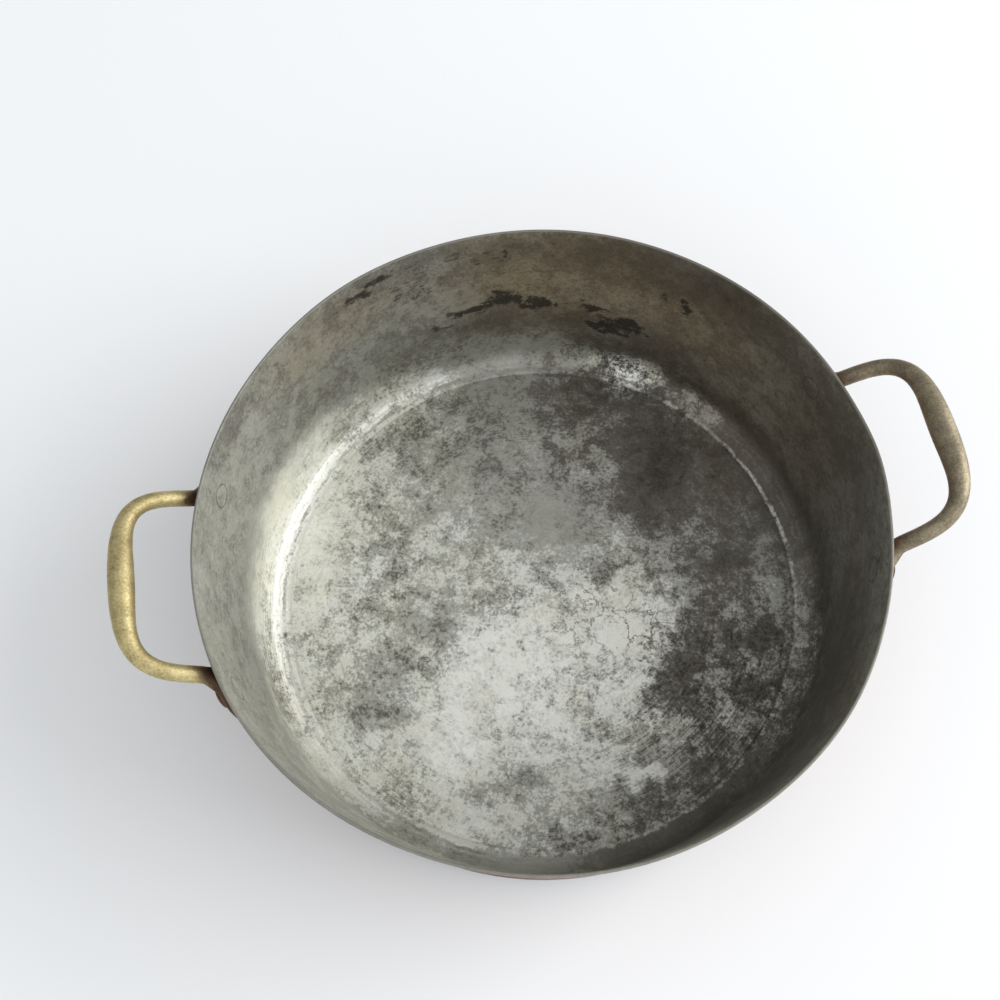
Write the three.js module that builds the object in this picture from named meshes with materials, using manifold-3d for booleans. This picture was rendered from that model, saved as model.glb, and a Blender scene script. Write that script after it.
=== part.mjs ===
// A round stew pot with nearly upright walls: a copper shell lined with tin, and two cast brass
// loop handles, each held by two rivets whose countersunk heads lie flush inside the wall.
// Millimetres, +Z up. The origin is the centre of the underside. The handles lie on +X and -X.

import * as THREE from "three";
import { mergeVertices } from "three/addons/utils/BufferGeometryUtils.js";
import Module from "manifold-3d";

// Shell: a floor and a wall that leans out towards the rim
const RIM_RADIUS = 140;
const POT_HEIGHT = 97;
const WALL_LEAN = THREE.MathUtils.degToRad(3.2);
const SHEET_THICKNESS = 1.3;
const INNER_CORNER_RADIUS = 11.2;
const RIM_ROUNDING = 0.5;

// Handle loop: a superellipse in a plane that leans outwards, with legs that spread at the wall
const LOOP_LENGTH = 32.1;
const LOOP_HALF_WIDTH = 36.6;
const LEG_SPREAD = 2.2;
const LOOP_ROOT_DROP = 10;
const LEG_STANDOFF = 3.8;
const LOOP_TILT = THREE.MathUtils.degToRad(32.4);
const LOOP_SQUARENESS = 3.8;
const GRIP_RADIUS = 5.1;
const GRIP_SWELL_LENGTH = 40;
const LEG_RADIUS = 3.4;

// Handle foot: where a leg turns down the wall and widens into a splayed tongue
const BEND_REACH = 4.4;
const FOOT_CORE = 1.5;
const FOOT_HALF_WIDTH = 12;
const FOOT_HALF_THICKNESS = 2.6;
const FOOT_TIP_HALF_THICKNESS = 1.2;
const FOOT_TAIL = 13;
const FOOT_SQUARENESS = 3;

// Rivets
const RIVET_DROP = 20.2;
const RIVET_OUTSET = 4.8;
const SHANK_RADIUS = 3;
const FLUSH_HEAD_RADIUS = 5;
const FLUSH_HEAD_PROUD = 0.2;
const COUNTERSINK_LAND = 0.5;
const DOME_RADIUS = 5.2;
const DOME_HEIGHT = 2.2;
const DOME_EDGE = 0.5;

// Gap that touching pieces keep, and how far a cutter runs past what it cuts
const SEAT_GAP = 0.3;
const OVERRUN = 4;

// Facets
const SHELL_SEGMENTS = 96;
const CORNER_SEGMENTS = 7;
const RIM_SEGMENTS = 3;
const RIVET_SEGMENTS = 24;
const DOME_SEGMENTS = 5;
const SECTION_SEGMENTS = 18;
const LOOP_STATIONS = 13;
const BEND_STATIONS = 5;
const FOOT_STATIONS = 2;
const TAIL_STATIONS = 8;
const STATION_CROWDING = 1.5;
const MERGE_TOLERANCE = 0.0003;
const QUARTER_TURN = Math.PI / 2;

const COPPER_LINED = { color: 0x86837c, roughness: 0.45, metalness: 0.9 };
const BRASS = { color: 0xa08c56, roughness: 0.5, metalness: 0.85 };
const TINNED_RIVET = { color: 0x7c766c, roughness: 0.5, metalness: 0.9 };

const wasm = await Module();
wasm.setup();

const smooth = (share) => THREE.MathUtils.smoothstep(share, 0, 1);
const mix = THREE.MathUtils.lerp;

// The closed surface of a geometry as a solid that can be cut
function solidOf(geometry) {
  const bare = geometry.clone();
  bare.deleteAttribute("normal");
  bare.deleteAttribute("uv");
  const merged = mergeVertices(bare, MERGE_TOLERANCE);
  return new wasm.Manifold(
    new wasm.Mesh({
      numProp: 3,
      vertProperties: merged.attributes.position.array,
      triVerts: new Uint32Array(merged.index.array),
    }),
  );
}

// A solid as a geometry again
function geometryOf(solid) {
  const { numProp, vertProperties, triVerts } = solid.getMesh();
  const positions = new Float32Array((vertProperties.length / numProp) * 3);
  for (let i = 0; i < positions.length / 3; i++) {
    positions.set(vertProperties.subarray(i * numProp, i * numProp + 3), i * 3);
  }
  const geometry = new THREE.BufferGeometry();
  geometry.setAttribute("position", new THREE.BufferAttribute(positions, 3));
  geometry.setIndex(new THREE.BufferAttribute(new Uint32Array(triVerts), 1));
  geometry.computeVertexNormals();
  return geometry;
}

// A named mesh with its own material
function piece(name, geometry, look) {
  const mesh = new THREE.Mesh(geometry, new THREE.MeshStandardMaterial(look));
  mesh.name = name;
  return mesh;
}

// Points of a round corner in a profile, from one angle to another
function arcPoints(centreX, centreY, radius, from, to, segments) {
  const points = [];
  for (let i = 0; i <= segments; i++) {
    const angle = from + ((to - from) * i) / segments;
    points.push(
      new THREE.Vector2(
        centreX + radius * Math.cos(angle),
        centreY + radius * Math.sin(angle),
      ),
    );
  }
  return points;
}

// A profile (radius, height) turned about the Z axis
function turned(profile, segments) {
  return new THREE.LatheGeometry(profile, segments).rotateX(QUARTER_TURN);
}

// A profile (radius, distance along the axis) turned about the X axis
function turnedAlongX(profile, segments) {
  return new THREE.LatheGeometry(profile, segments).rotateZ(-QUARTER_TURN);
}

// Radius of a surface that runs beside the wall's outer face, this far outside it
function wallRadius(height, outside = 0) {
  return RIM_RADIUS - (POT_HEIGHT - height) * Math.tan(WALL_LEAN) + outside / Math.cos(WALL_LEAN);
}

// Where the legs meet the wall, and the rivets beside them
const ROOT_Z = POT_HEIGHT - LOOP_ROOT_DROP;
const ROOT_RADIUS = wallRadius(ROOT_Z, LEG_STANDOFF);
const ROOT_Y = LOOP_HALF_WIDTH + LEG_SPREAD;
const ROOT_ANGLE = Math.asin(ROOT_Y / ROOT_RADIUS);
const ROOT_X = ROOT_RADIUS * Math.cos(ROOT_ANGLE);
const RIVET_Z = POT_HEIGHT - RIVET_DROP;
const RIVET_ANGLE = Math.asin((ROOT_Y + RIVET_OUTSET) / wallRadius(RIVET_Z));
const FOOT_FACE = SEAT_GAP + FOOT_CORE + FOOT_HALF_THICKNESS;

// Half profile of a rivet, from its flush head inside the wall to its dome on the handle's foot;
// margin widens it into the cutter for its hole
function rivetProfile(margin) {
  const innerFace = -SHEET_THICKNESS - FLUSH_HEAD_PROUD;
  const countersinkFloor = -COUNTERSINK_LAND;
  return [
    new THREE.Vector2(0, innerFace),
    new THREE.Vector2(FLUSH_HEAD_RADIUS - FLUSH_HEAD_PROUD + margin, innerFace),
    new THREE.Vector2(FLUSH_HEAD_RADIUS + margin, -SHEET_THICKNESS),
    new THREE.Vector2(SHANK_RADIUS + margin, countersinkFloor),
  ];
}

// A rivet along +X, with X = 0 at the wall's outer face
function rivetGeometry() {
  const domeFoot = FOOT_FACE + SEAT_GAP;
  const profile = rivetProfile(0);
  profile.push(new THREE.Vector2(SHANK_RADIUS, domeFoot));
  profile.push(new THREE.Vector2(DOME_RADIUS, domeFoot));
  for (let i = 0; i <= DOME_SEGMENTS; i++) {
    const angle = (QUARTER_TURN * i) / DOME_SEGMENTS;
    const height = DOME_EDGE + (DOME_HEIGHT - DOME_EDGE) * Math.sin(angle);
    const radius = i < DOME_SEGMENTS ? DOME_RADIUS * Math.cos(angle) : 0;
    profile.push(new THREE.Vector2(radius, domeFoot + height));
  }
  return turnedAlongX(profile, RIVET_SEGMENTS);
}

// The cutter for a rivet's hole, through the wall and through the handle's foot
function rivetHoleGeometry() {
  const profile = rivetProfile(SEAT_GAP);
  const first = profile[1];
  profile[0] = new THREE.Vector2(0, first.y - OVERRUN);
  profile.splice(1, 0, new THREE.Vector2(first.x, first.y - OVERRUN));
  profile.push(new THREE.Vector2(SHANK_RADIUS + SEAT_GAP, FOOT_FACE + OVERRUN));
  profile.push(new THREE.Vector2(0, FOOT_FACE + OVERRUN));
  return turnedAlongX(profile, RIVET_SEGMENTS);
}

// Moves a geometry that is built along +X at the wall's outer face to a rivet's place, square to
// the leaning wall
function placedAtRivet(geometry, angle) {
  return geometry.rotateY(WALL_LEAN).translate(wallRadius(RIVET_Z), 0, RIVET_Z).rotateZ(angle);
}

// The shell: floor, round corner, leaning wall and rounded rim, turned in one piece
function shellGeometry() {
  const outerCorner = INNER_CORNER_RADIUS + SHEET_THICKNESS;
  const cornerX = wallRadius(outerCorner, -outerCorner);
  const rimZ = POT_HEIGHT - RIM_ROUNDING;
  const outerRimX = wallRadius(rimZ, -RIM_ROUNDING);
  const innerRimX = wallRadius(rimZ, RIM_ROUNDING - SHEET_THICKNESS);
  const profile = [
    new THREE.Vector2(0, 0),
    ...arcPoints(cornerX, outerCorner, outerCorner, -QUARTER_TURN, -WALL_LEAN, CORNER_SEGMENTS),
    ...arcPoints(outerRimX, rimZ, RIM_ROUNDING, -WALL_LEAN, QUARTER_TURN, RIM_SEGMENTS),
    ...arcPoints(innerRimX, rimZ, RIM_ROUNDING, QUARTER_TURN, Math.PI - WALL_LEAN, RIM_SEGMENTS),
    ...arcPoints(cornerX, outerCorner, INNER_CORNER_RADIUS, -WALL_LEAN, -QUARTER_TURN, CORNER_SEGMENTS),
    new THREE.Vector2(0, SHEET_THICKNESS),
  ];
  return turned(profile, SHELL_SEGMENTS);
}

// The angles of the four rivets about the pot's axis, with the side and end that name each
function rivetPlaces() {
  const places = [];
  for (const [side, turn] of [["right", 0], ["left", Math.PI]]) {
    for (const [end, sign] of [["rear", 1], ["front", -1]]) {
      const mirror = side === "right" ? 1 : -1;
      places.push({ name: `${side}_${end}_rivet`, angle: turn + sign * mirror * RIVET_ANGLE });
    }
  }
  return places;
}

function makeShell() {
  let shell = solidOf(shellGeometry());
  for (const { angle } of rivetPlaces()) {
    shell = shell.subtract(solidOf(placedAtRivet(rivetHoleGeometry(), angle)));
  }
  return piece("pot_body", geometryOf(shell), COPPER_LINED);
}

// A point of the handle's loop, given its place along the leaning plane and across it
function loopPoint(along, across) {
  return new THREE.Vector3(
    ROOT_X + along * Math.cos(LOOP_TILT),
    across,
    ROOT_Z + along * Math.sin(LOOP_TILT),
  );
}

// A point of the foot, a drop below the loop's root, on the wall's curve
function footPoint(drop) {
  const share = drop / (RIVET_DROP - LOOP_ROOT_DROP);
  const angle = mix(ROOT_ANGLE, RIVET_ANGLE, share);
  const height = ROOT_Z - drop;
  const radius = wallRadius(height, SEAT_GAP + FOOT_CORE);
  return new THREE.Vector3(radius * Math.cos(angle), radius * Math.sin(angle), height);
}

// Stations of the loop, from the middle of the grip to where the leg starts to bend
function loopStations() {
  const normal = new THREE.Vector3(-Math.sin(LOOP_TILT), 0, Math.cos(LOOP_TILT));
  const power = 2 / LOOP_SQUARENESS;
  const lastAngle = Math.acos((BEND_REACH / LOOP_LENGTH) ** (1 / power));
  const stations = [];
  let length = 0;
  for (let i = 0; i < LOOP_STATIONS; i++) {
    const share = i / (LOOP_STATIONS - 1);
    const angle = lastAngle * share ** STATION_CROWDING;
    const along = LOOP_LENGTH * Math.cos(angle) ** power;
    const across = LOOP_HALF_WIDTH * Math.sin(angle) ** power;
    const centre = loopPoint(along, across + LEG_SPREAD * (1 - along / LOOP_LENGTH));
    if (i > 0) length += centre.distanceTo(stations[i - 1].centre);
    const swell = Math.cos(QUARTER_TURN * Math.min(1, length / GRIP_SWELL_LENGTH)) ** 2;
    const radius = mix(LEG_RADIUS, GRIP_RADIUS, swell);
    stations.push({ centre, up: normal, width: radius, thickness: radius, squareness: 2 });
  }
  return stations;
}

// Stations of the bend and the foot, from the leg's end to the foot's tip
function footStations(legEnd) {
  const rivetFall = RIVET_DROP - LOOP_ROOT_DROP;
  const root = loopPoint(0, ROOT_Y);
  const bend = new THREE.QuadraticBezierCurve3(legEnd.centre, root, footPoint(BEND_REACH));
  const stations = [];
  const addStation = (centre, turnShare, spreadShare, thickness, narrowing) => {
    const inward = new THREE.Vector3(-centre.x, -centre.y, 0).normalize();
    inward.setZ(Math.tan(WALL_LEAN));
    stations.push({
      centre,
      up: legEnd.up.clone().lerp(inward, smooth(turnShare)),
      width: mix(LEG_RADIUS, FOOT_HALF_WIDTH, smooth(spreadShare)) * narrowing,
      thickness,
      squareness: mix(2, FOOT_SQUARENESS, spreadShare),
    });
  };
  const widenFrom = -BEND_REACH / 2;
  const spreadAt = (fall) => THREE.MathUtils.clamp((fall - widenFrom) / (rivetFall - widenFrom), 0, 1);
  for (let i = 1; i <= BEND_STATIONS; i++) {
    const share = i / BEND_STATIONS;
    const fall = mix(-BEND_REACH, BEND_REACH, share);
    const spread = spreadAt(fall);
    addStation(bend.getPoint(share), share, spread, mix(LEG_RADIUS, FOOT_HALF_THICKNESS, spread), 1);
  }
  for (let i = 1; i <= FOOT_STATIONS; i++) {
    const share = i / FOOT_STATIONS;
    const fall = mix(BEND_REACH, rivetFall, share);
    addStation(footPoint(fall), 1, spreadAt(fall), FOOT_HALF_THICKNESS, 1);
  }
  for (let i = 1; i < TAIL_STATIONS; i++) {
    const angle = (QUARTER_TURN * i) / TAIL_STATIONS;
    const thickness = mix(FOOT_TIP_HALF_THICKNESS, FOOT_HALF_THICKNESS, Math.cos(angle));
    addStation(footPoint(rivetFall + FOOT_TAIL * Math.sin(angle)), 1, 1, thickness, Math.cos(angle));
  }
  return stations;
}

// One ring of points round a station; the ring lies square to the path
function ringPoints(station, tangent) {
  const along = station.up.clone().addScaledVector(tangent, -station.up.dot(tangent)).normalize();
  const across = new THREE.Vector3().crossVectors(along, tangent);
  const power = 2 / station.squareness;
  const bulge = (value) => Math.sign(value) * Math.abs(value) ** power;
  const points = [];
  for (let i = 0; i < SECTION_SEGMENTS; i++) {
    const angle = (2 * Math.PI * i) / SECTION_SEGMENTS;
    points.push(
      station.centre
        .clone()
        .addScaledVector(across, station.width * bulge(Math.cos(angle)))
        .addScaledVector(along, station.thickness * bulge(Math.sin(angle))),
    );
  }
  return points;
}

// A closed skin over rings of points, with a flat fan at each end
function skinned(rings) {
  const positions = [];
  const index = [];
  const count = SECTION_SEGMENTS;
  const centreOf = (ring) =>
    ring.reduce((sum, point) => sum.add(point), new THREE.Vector3()).divideScalar(count);
  for (const point of rings.flat()) positions.push(...point.toArray());
  positions.push(...centreOf(rings[0]).toArray(), ...centreOf(rings.at(-1)).toArray());
  const startCentre = rings.length * count;
  const lastRing = (rings.length - 1) * count;
  for (let j = 0; j < count; j++) {
    const next = (j + 1) % count;
    for (let i = 0; i < lastRing; i += count) {
      index.push(i + j, i + next, i + count + j, i + next, i + count + next, i + count + j);
    }
    index.push(startCentre, next, j, startCentre + 1, lastRing + j, lastRing + next);
  }
  const geometry = new THREE.BufferGeometry();
  geometry.setAttribute("position", new THREE.Float32BufferAttribute(positions, 3));
  geometry.setIndex(index);
  return geometry;
}

// The handle's casting before it is cut: one half is skinned from its stations, the other mirrors it
function handleCastingGeometry() {
  const half = loopStations();
  half.push(...footStations(half.at(-1)));
  const rings = half.map((station, i) => {
    const before = i > 0 ? half[i - 1].centre : half[1].centre.clone().setY(-half[1].centre.y);
    const after = half[Math.min(i + 1, half.length - 1)].centre;
    return ringPoints(station, after.clone().sub(before).normalize());
  });
  const mirrored = rings
    .slice(1)
    .reverse()
    .map((ring) => ring.map((point) => point.clone().setY(-point.y)));
  return skinned([...mirrored, ...rings]);
}

// The space of the pot's wall and the gap outside it, which the feet are fitted to
function wallCutterGeometry() {
  const top = ROOT_Z + LOOP_LENGTH;
  const bottom = RIVET_Z - FOOT_TAIL - OVERRUN;
  return turned(
    [
      new THREE.Vector2(0, bottom),
      new THREE.Vector2(wallRadius(bottom, SEAT_GAP), bottom),
      new THREE.Vector2(wallRadius(top, SEAT_GAP), top),
      new THREE.Vector2(0, top),
    ],
    SHELL_SEGMENTS,
  );
}

// A handle: the casting, fitted to the wall and drilled for its two rivets
function makeHandle(name) {
  let handle = solidOf(handleCastingGeometry()).subtract(solidOf(wallCutterGeometry()));
  for (const angle of [RIVET_ANGLE, -RIVET_ANGLE]) {
    handle = handle.subtract(solidOf(placedAtRivet(rivetHoleGeometry(), angle)));
  }
  return piece(name, geometryOf(handle), BRASS);
}

// A rivet in its place, in a group turned about the pot's axis
function makeRivet({ name, angle }) {
  const turn = new THREE.Group();
  const rivet = piece(name, rivetGeometry(), TINNED_RIVET);
  rivet.position.set(wallRadius(RIVET_Z), 0, RIVET_Z);
  rivet.rotation.y = WALL_LEAN;
  turn.rotation.z = angle;
  turn.add(rivet);
  return turn;
}

const pot = new THREE.Group();
pot.name = "stew_pot";
pot.add(makeShell());
const rightHandle = makeHandle("right_handle");
const leftHandle = makeHandle("left_handle");
leftHandle.rotation.z = Math.PI;
pot.add(rightHandle, leftHandle);
for (const place of rivetPlaces()) pot.add(makeRivet(place));

export default pot;
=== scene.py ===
"""The scene of an old round stew pot with a worn tin lining and two cast brass loop handles.

Sizes are in millimetres in the constants and dataclass fields, and turned to metres when a mesh
or a material is made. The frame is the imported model's: +Z up, the origin under the pot's centre,
the handles on +X and -X.
"""

import logging
import math
from collections.abc import Iterable, Sequence
from dataclasses import dataclass, field
from enum import Enum

import bpy
from mathutils import Matrix, Vector

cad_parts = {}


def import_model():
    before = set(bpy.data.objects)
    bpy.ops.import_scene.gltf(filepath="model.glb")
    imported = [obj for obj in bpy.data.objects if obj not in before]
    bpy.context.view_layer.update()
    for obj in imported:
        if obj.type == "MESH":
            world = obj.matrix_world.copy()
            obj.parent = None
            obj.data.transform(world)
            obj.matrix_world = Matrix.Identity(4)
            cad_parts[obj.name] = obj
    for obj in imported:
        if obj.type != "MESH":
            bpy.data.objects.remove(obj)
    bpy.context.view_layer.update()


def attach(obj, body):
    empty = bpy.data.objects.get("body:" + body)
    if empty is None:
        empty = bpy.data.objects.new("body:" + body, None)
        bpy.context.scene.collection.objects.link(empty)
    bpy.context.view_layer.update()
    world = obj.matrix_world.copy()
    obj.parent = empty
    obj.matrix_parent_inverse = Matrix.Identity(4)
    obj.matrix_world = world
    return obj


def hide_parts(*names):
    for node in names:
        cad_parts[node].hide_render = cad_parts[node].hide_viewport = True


LOG = logging.getLogger("stew_pot")

MM = 0.001
QUARTER_TURN = math.pi / 2
BODY = "root"
# the share of a patch's reach within which it has its full weight
PATCH_PLATEAU = 0.25
# patches are added up a few at a time: the next few wait for the sum so far, of which next to
# nothing is added to their place
PATCHES_AT_ONCE = 8
NEXT_TO_NOTHING = (1e-9, 1e-9, 1e-9)
# the height of the floor's patches and how far they reach up, and the radius of the wall's
FLOOR_PATCH_HEIGHT = 2.0
FLOOR_PATCH_REACH_UP = 16.0
WALL_PATCH_RADIUS = 135.0

Point = tuple[float, float, float]
Flat = tuple[float, float]
Row = tuple[float, float, float, float, float]
Colour = tuple[float, float, float, float]
Node = bpy.types.Node
Socket = bpy.types.NodeSocket
Tree = bpy.types.NodeTree
# what an input takes: a node's first output, a socket or a plain value
Source = Node | Socket | float | Sequence[float]


class Side(Enum):
    """The side of the pot that a handle is on, with its turn about the pot's axis."""

    RIGHT = 0.0
    LEFT = math.pi


class End(Enum):
    """The end of a handle that a rivet holds, with its side of the handle's middle."""

    REAR = 1
    FRONT = -1


class Slot(Enum):
    """The record's material slots."""

    SHELL = "lined_copper"
    HANDLE = "cast_brass"
    RIVET = "copper_rivet"


def linear(hex_colour: str) -> Colour:
    """Turns an sRGB hex colour to a linear colour.

    Args:
        hex_colour: Six hex digits, such as "8a8a80".

    Returns:
        The linear red, green, blue and an alpha of one.
    """
    channels = [int(hex_colour[i : i + 2], 16) / 255 for i in (0, 2, 4)]
    red, green, blue = (
        c / 12.92 if c <= 0.04045 else ((c + 0.055) / 1.055) ** 2.4 for c in channels
    )
    return (red, green, blue, 1.0)


def plug(tree: Tree, value: Source, socket: Socket) -> None:
    """Gives an input its value.

    Args:
        tree: The node tree that gets a link.
        value: What goes in; of a node, its first output that is in use.
        socket: The input.
    """
    if isinstance(value, Node):
        value = next(s for s in value.outputs if not s.is_unavailable)
    if isinstance(value, Socket):
        tree.links.new(value, socket)
    else:
        socket.default_value = value


def add_node(
    tree: Tree, kind: str, inputs: Sequence[Source] | dict[str, Source] = (), **settings: object
) -> Node:
    """Adds one node with its settings and links.

    Args:
        tree: The node tree that gets the node.
        kind: The kind of node.
        inputs: What goes in, in the order of the inputs in use, or by their names.
        **settings: The node's own properties.

    Returns:
        The new node.
    """
    node = tree.nodes.new(f"ShaderNode{kind}")
    for name, value in settings.items():
        setattr(node, name, value)
    sockets = [s for s in node.inputs if not s.is_unavailable]
    if isinstance(inputs, dict):
        sockets = [next(s for s in sockets if s.name == name) for name in inputs]
        inputs = list(inputs.values())
    for value, socket in zip(inputs, sockets):
        plug(tree, value, socket)
    return node


def set_stops(ramp: Node, stops: Sequence[tuple[float, str]]) -> Node:
    """Sets the colours of a colour ramp.

    Args:
        ramp: The ramp's node.
        stops: The values from 0 to 1, and the sRGB colours there.

    Returns:
        The ramp's node.
    """
    elements = ramp.color_ramp.elements
    for position, _ in stops[len(elements) :]:
        elements.new(position)
    for element, (position, shade) in zip(elements, stops):
        element.position = position
        element.color = linear(shade)
    return ramp


def smooth_share(share: float) -> float:
    """Eases a share from 0 to 1 in and out."""
    share = min(1.0, max(0.0, share))
    return share * share * (3 - 2 * share)


def mix(low: float, high: float, share: float) -> float:
    """Returns the value that lies a share of the way from low to high."""
    return low + (high - low) * share


def arc(centre: Flat, radius: float, start: float, end: float, steps: int) -> list[Flat]:
    """Lists points on an arc of a turned profile.

    Args:
        centre: The arc's centre, as radius and height.
        radius: The arc's radius.
        start: The angle of the first point, in radians.
        end: The angle of the last point, in radians.
        steps: The number of steps between them.

    Returns:
        The points, as radius and height.
    """
    angles = [start + (end - start) * i / steps for i in range(steps + 1)]
    return [(centre[0] + radius * math.cos(a), centre[1] + radius * math.sin(a)) for a in angles]


def line(start: Flat, end: Flat, steps: int) -> list[Flat]:
    """Lists points between two points of a profile, without the two ends.

    Args:
        start: The first end, as radius and height.
        end: The other end, as radius and height.
        steps: The number of steps between them.

    Returns:
        The points between the ends.
    """
    shares = [i / steps for i in range(1, steps)]
    return [(mix(start[0], end[0], s), mix(start[1], end[1], s)) for s in shares]


def make_object(
    name: str, points: Iterable[Vector], faces: Iterable[Sequence[int]]
) -> bpy.types.Object:
    """Makes a smooth mesh object from points in millimetres.

    Args:
        name: The piece's name.
        points: The mesh's points, in millimetres, in the pot's frame.
        faces: The faces, as indices of the points.

    Returns:
        The object, linked to the scene.
    """
    mesh = bpy.data.meshes.new(name)
    mesh.from_pydata([point * MM for point in points], [], [tuple(face) for face in faces])
    mesh.update()
    mesh.shade_smooth()
    obj = bpy.data.objects.new(name, mesh)
    bpy.context.scene.collection.objects.link(obj)
    return obj


def turned_mesh(
    profile: Sequence[Flat], segments: int
) -> tuple[list[Vector], list[tuple[int, ...]]]:
    """Turns a profile that starts and ends on the axis about Z.

    Args:
        profile: The profile's points, as radius and height.
        segments: The number of steps round the axis.

    Returns:
        The points and the faces, which face out for a profile that runs anticlockwise.
    """
    rings = profile[1:-1]
    points = [
        Vector((radius * math.cos(a), radius * math.sin(a), height))
        for radius, height in rings
        for a in (2 * math.pi * j / segments for j in range(segments))
    ]
    faces: list[tuple[int, ...]] = []
    for i in range(len(rings) - 1):
        for j in range(segments):
            k = (j + 1) % segments
            low, high = i * segments, (i + 1) * segments
            faces.append((low + j, low + k, high + k, high + j))
    start, end = len(points), len(points) + 1
    points += [Vector((0, 0, profile[0][1])), Vector((0, 0, profile[-1][1]))]
    last = (len(rings) - 1) * segments
    for j in range(segments):
        k = (j + 1) % segments
        faces.append((start, k, j))
        faces.append((end, last + j, last + k))
    return points, faces


def seat(obj: bpy.types.Object, slot: Slot, *nodes: str) -> bpy.types.Object:
    """Ties a finished piece to the frame and reports it.

    Args:
        obj: The piece.
        slot: The material slot that it takes its finish from; not used.
        *nodes: The nodes of the frame that it stands for.

    Returns:
        The piece.
    """
    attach(obj, BODY)
    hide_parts(*nodes)
    LOG.info("%s: %d faces, stands for %s", obj.name, len(obj.data.polygons), ", ".join(nodes))
    return obj


# finishes


@dataclass(frozen=True)
class Patch:
    """A soft-edged patch on a surface, in millimetres.

    Attributes:
        centre: The patch's centre.
        reach: How far it reaches along X, Y and Z.
        weight: What it adds in its middle; less than nothing takes away.
    """

    centre: Point
    reach: Point
    weight: float


def floor_patches(*rows: Row) -> tuple[Patch, ...]:
    """Makes patches on the pot's floor, which end where the wall stands up.

    Args:
        *rows: Each patch's X and Y, its reach along X and along Y, and its weight.

    Returns:
        The patches.
    """
    return tuple(
        Patch((x, y, FLOOR_PATCH_HEIGHT), (reach_x, reach_y, FLOOR_PATCH_REACH_UP), weight)
        for x, y, reach_x, reach_y, weight in rows
    )


def wall_patches(*rows: Row) -> tuple[Patch, ...]:
    """Makes patches on the inside of the wall.

    Args:
        *rows: Each patch's angle in degrees from the right handle, its height, its reach
            along the wall and up it, and its weight.

    Returns:
        The patches.
    """
    patches = []
    for angle, height, reach, reach_up, weight in rows:
        turn = math.radians(angle)
        x, y = WALL_PATCH_RADIUS * math.cos(turn), WALL_PATCH_RADIUS * math.sin(turn)
        patches.append(Patch((x, y, height), (reach, reach, reach_up), weight))
    return tuple(patches)


@dataclass
class Coat:
    """A material's nodes while its finish is laid on.

    Attributes:
        tree: The material's node tree.
        shader: The shader of its surface.
        place: The place on the surface, in metres.
    """

    tree: Tree
    shader: Node
    place: Socket

    def add(
        self, kind: str, inputs: Sequence[Source] | dict[str, Source] = (), **settings: object
    ) -> Node:
        """Adds one node.

        Args:
            kind: The kind of node.
            inputs: What goes in, in the order of the inputs in use, or by their names.
            **settings: The node's own properties.

        Returns:
            The new node.
        """
        return add_node(self.tree, kind, inputs, **settings)

    def give(self, name: str, value: Source) -> None:
        """Gives one of the shader's inputs its value."""
        plug(self.tree, value, self.shader.inputs[name])

    def off_axis(self) -> tuple[Node, Socket]:
        """Returns the place without its height, and its distance from the pot's axis."""
        flat = self.add("VectorMath", (self.place, (1, 1, 0)), operation="MULTIPLY")
        return flat, self.add("VectorMath", (flat,), operation="LENGTH").outputs["Value"]

    def scaled(self, layer: Source, *shares: Source) -> Source:
        """Multiplies a layer by each of some shares in turn."""
        for share in shares:
            layer = self.add("Math", (layer, share), operation="MULTIPLY")
        return layer

    def field(self, place: Source, patches: Sequence[Patch]) -> Source:
        """Adds up patches into one field.

        Args:
            place: The place on the surface, in metres.
            patches: The patches.

        Returns:
            The sum.
        """
        total: Source = 0.0
        place_now = place
        for number, patch in enumerate(patches):
            if number and number % PATCHES_AT_ONCE == 0:
                place_now = self.add(
                    "VectorMath", (total, NEXT_TO_NOTHING, place), operation="MULTIPLY_ADD"
                )
            widen = [1 / (reach * MM) for reach in patch.reach]
            shift = [-middle / reach for middle, reach in zip(patch.centre, patch.reach)]
            inside = self.add("VectorMath", (place_now, widen, shift), operation="MULTIPLY_ADD")
            distance = self.add("VectorMath", (inside,), operation="LENGTH").outputs["Value"]
            amount = self.add(
                "MapRange",
                (distance, PATCH_PLATEAU, 1.0, patch.weight, 0.0),
                interpolation_type="SMOOTHSTEP",
            )
            total = self.add("Math", (amount, total), operation="ADD")
        return total


@dataclass(frozen=True)
class Finish:
    """A surface finish. Each kind of finish fills in what its own surface shows."""

    name: str

    def material(self) -> bpy.types.Material:
        """Makes the finish's material.

        Returns:
            The material.
        """
        material = bpy.data.materials.new(self.name)
        material.use_nodes = True
        tree = material.node_tree
        tree.nodes.clear()
        shader = add_node(tree, "BsdfPrincipled")
        add_node(tree, "OutputMaterial", {"Surface": shader})
        self.dress(Coat(tree, shader, add_node(tree, "TexCoord").outputs["Object"]))
        LOG.info("material %s: %d nodes", self.name, len(tree.nodes))
        return material

    def dress(self, coat: Coat) -> None:
        """Sets the shader's colour, metal, roughness and bump; each finish has its own.

        Args:
            coat: The material's nodes.
        """
        raise NotImplementedError


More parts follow.
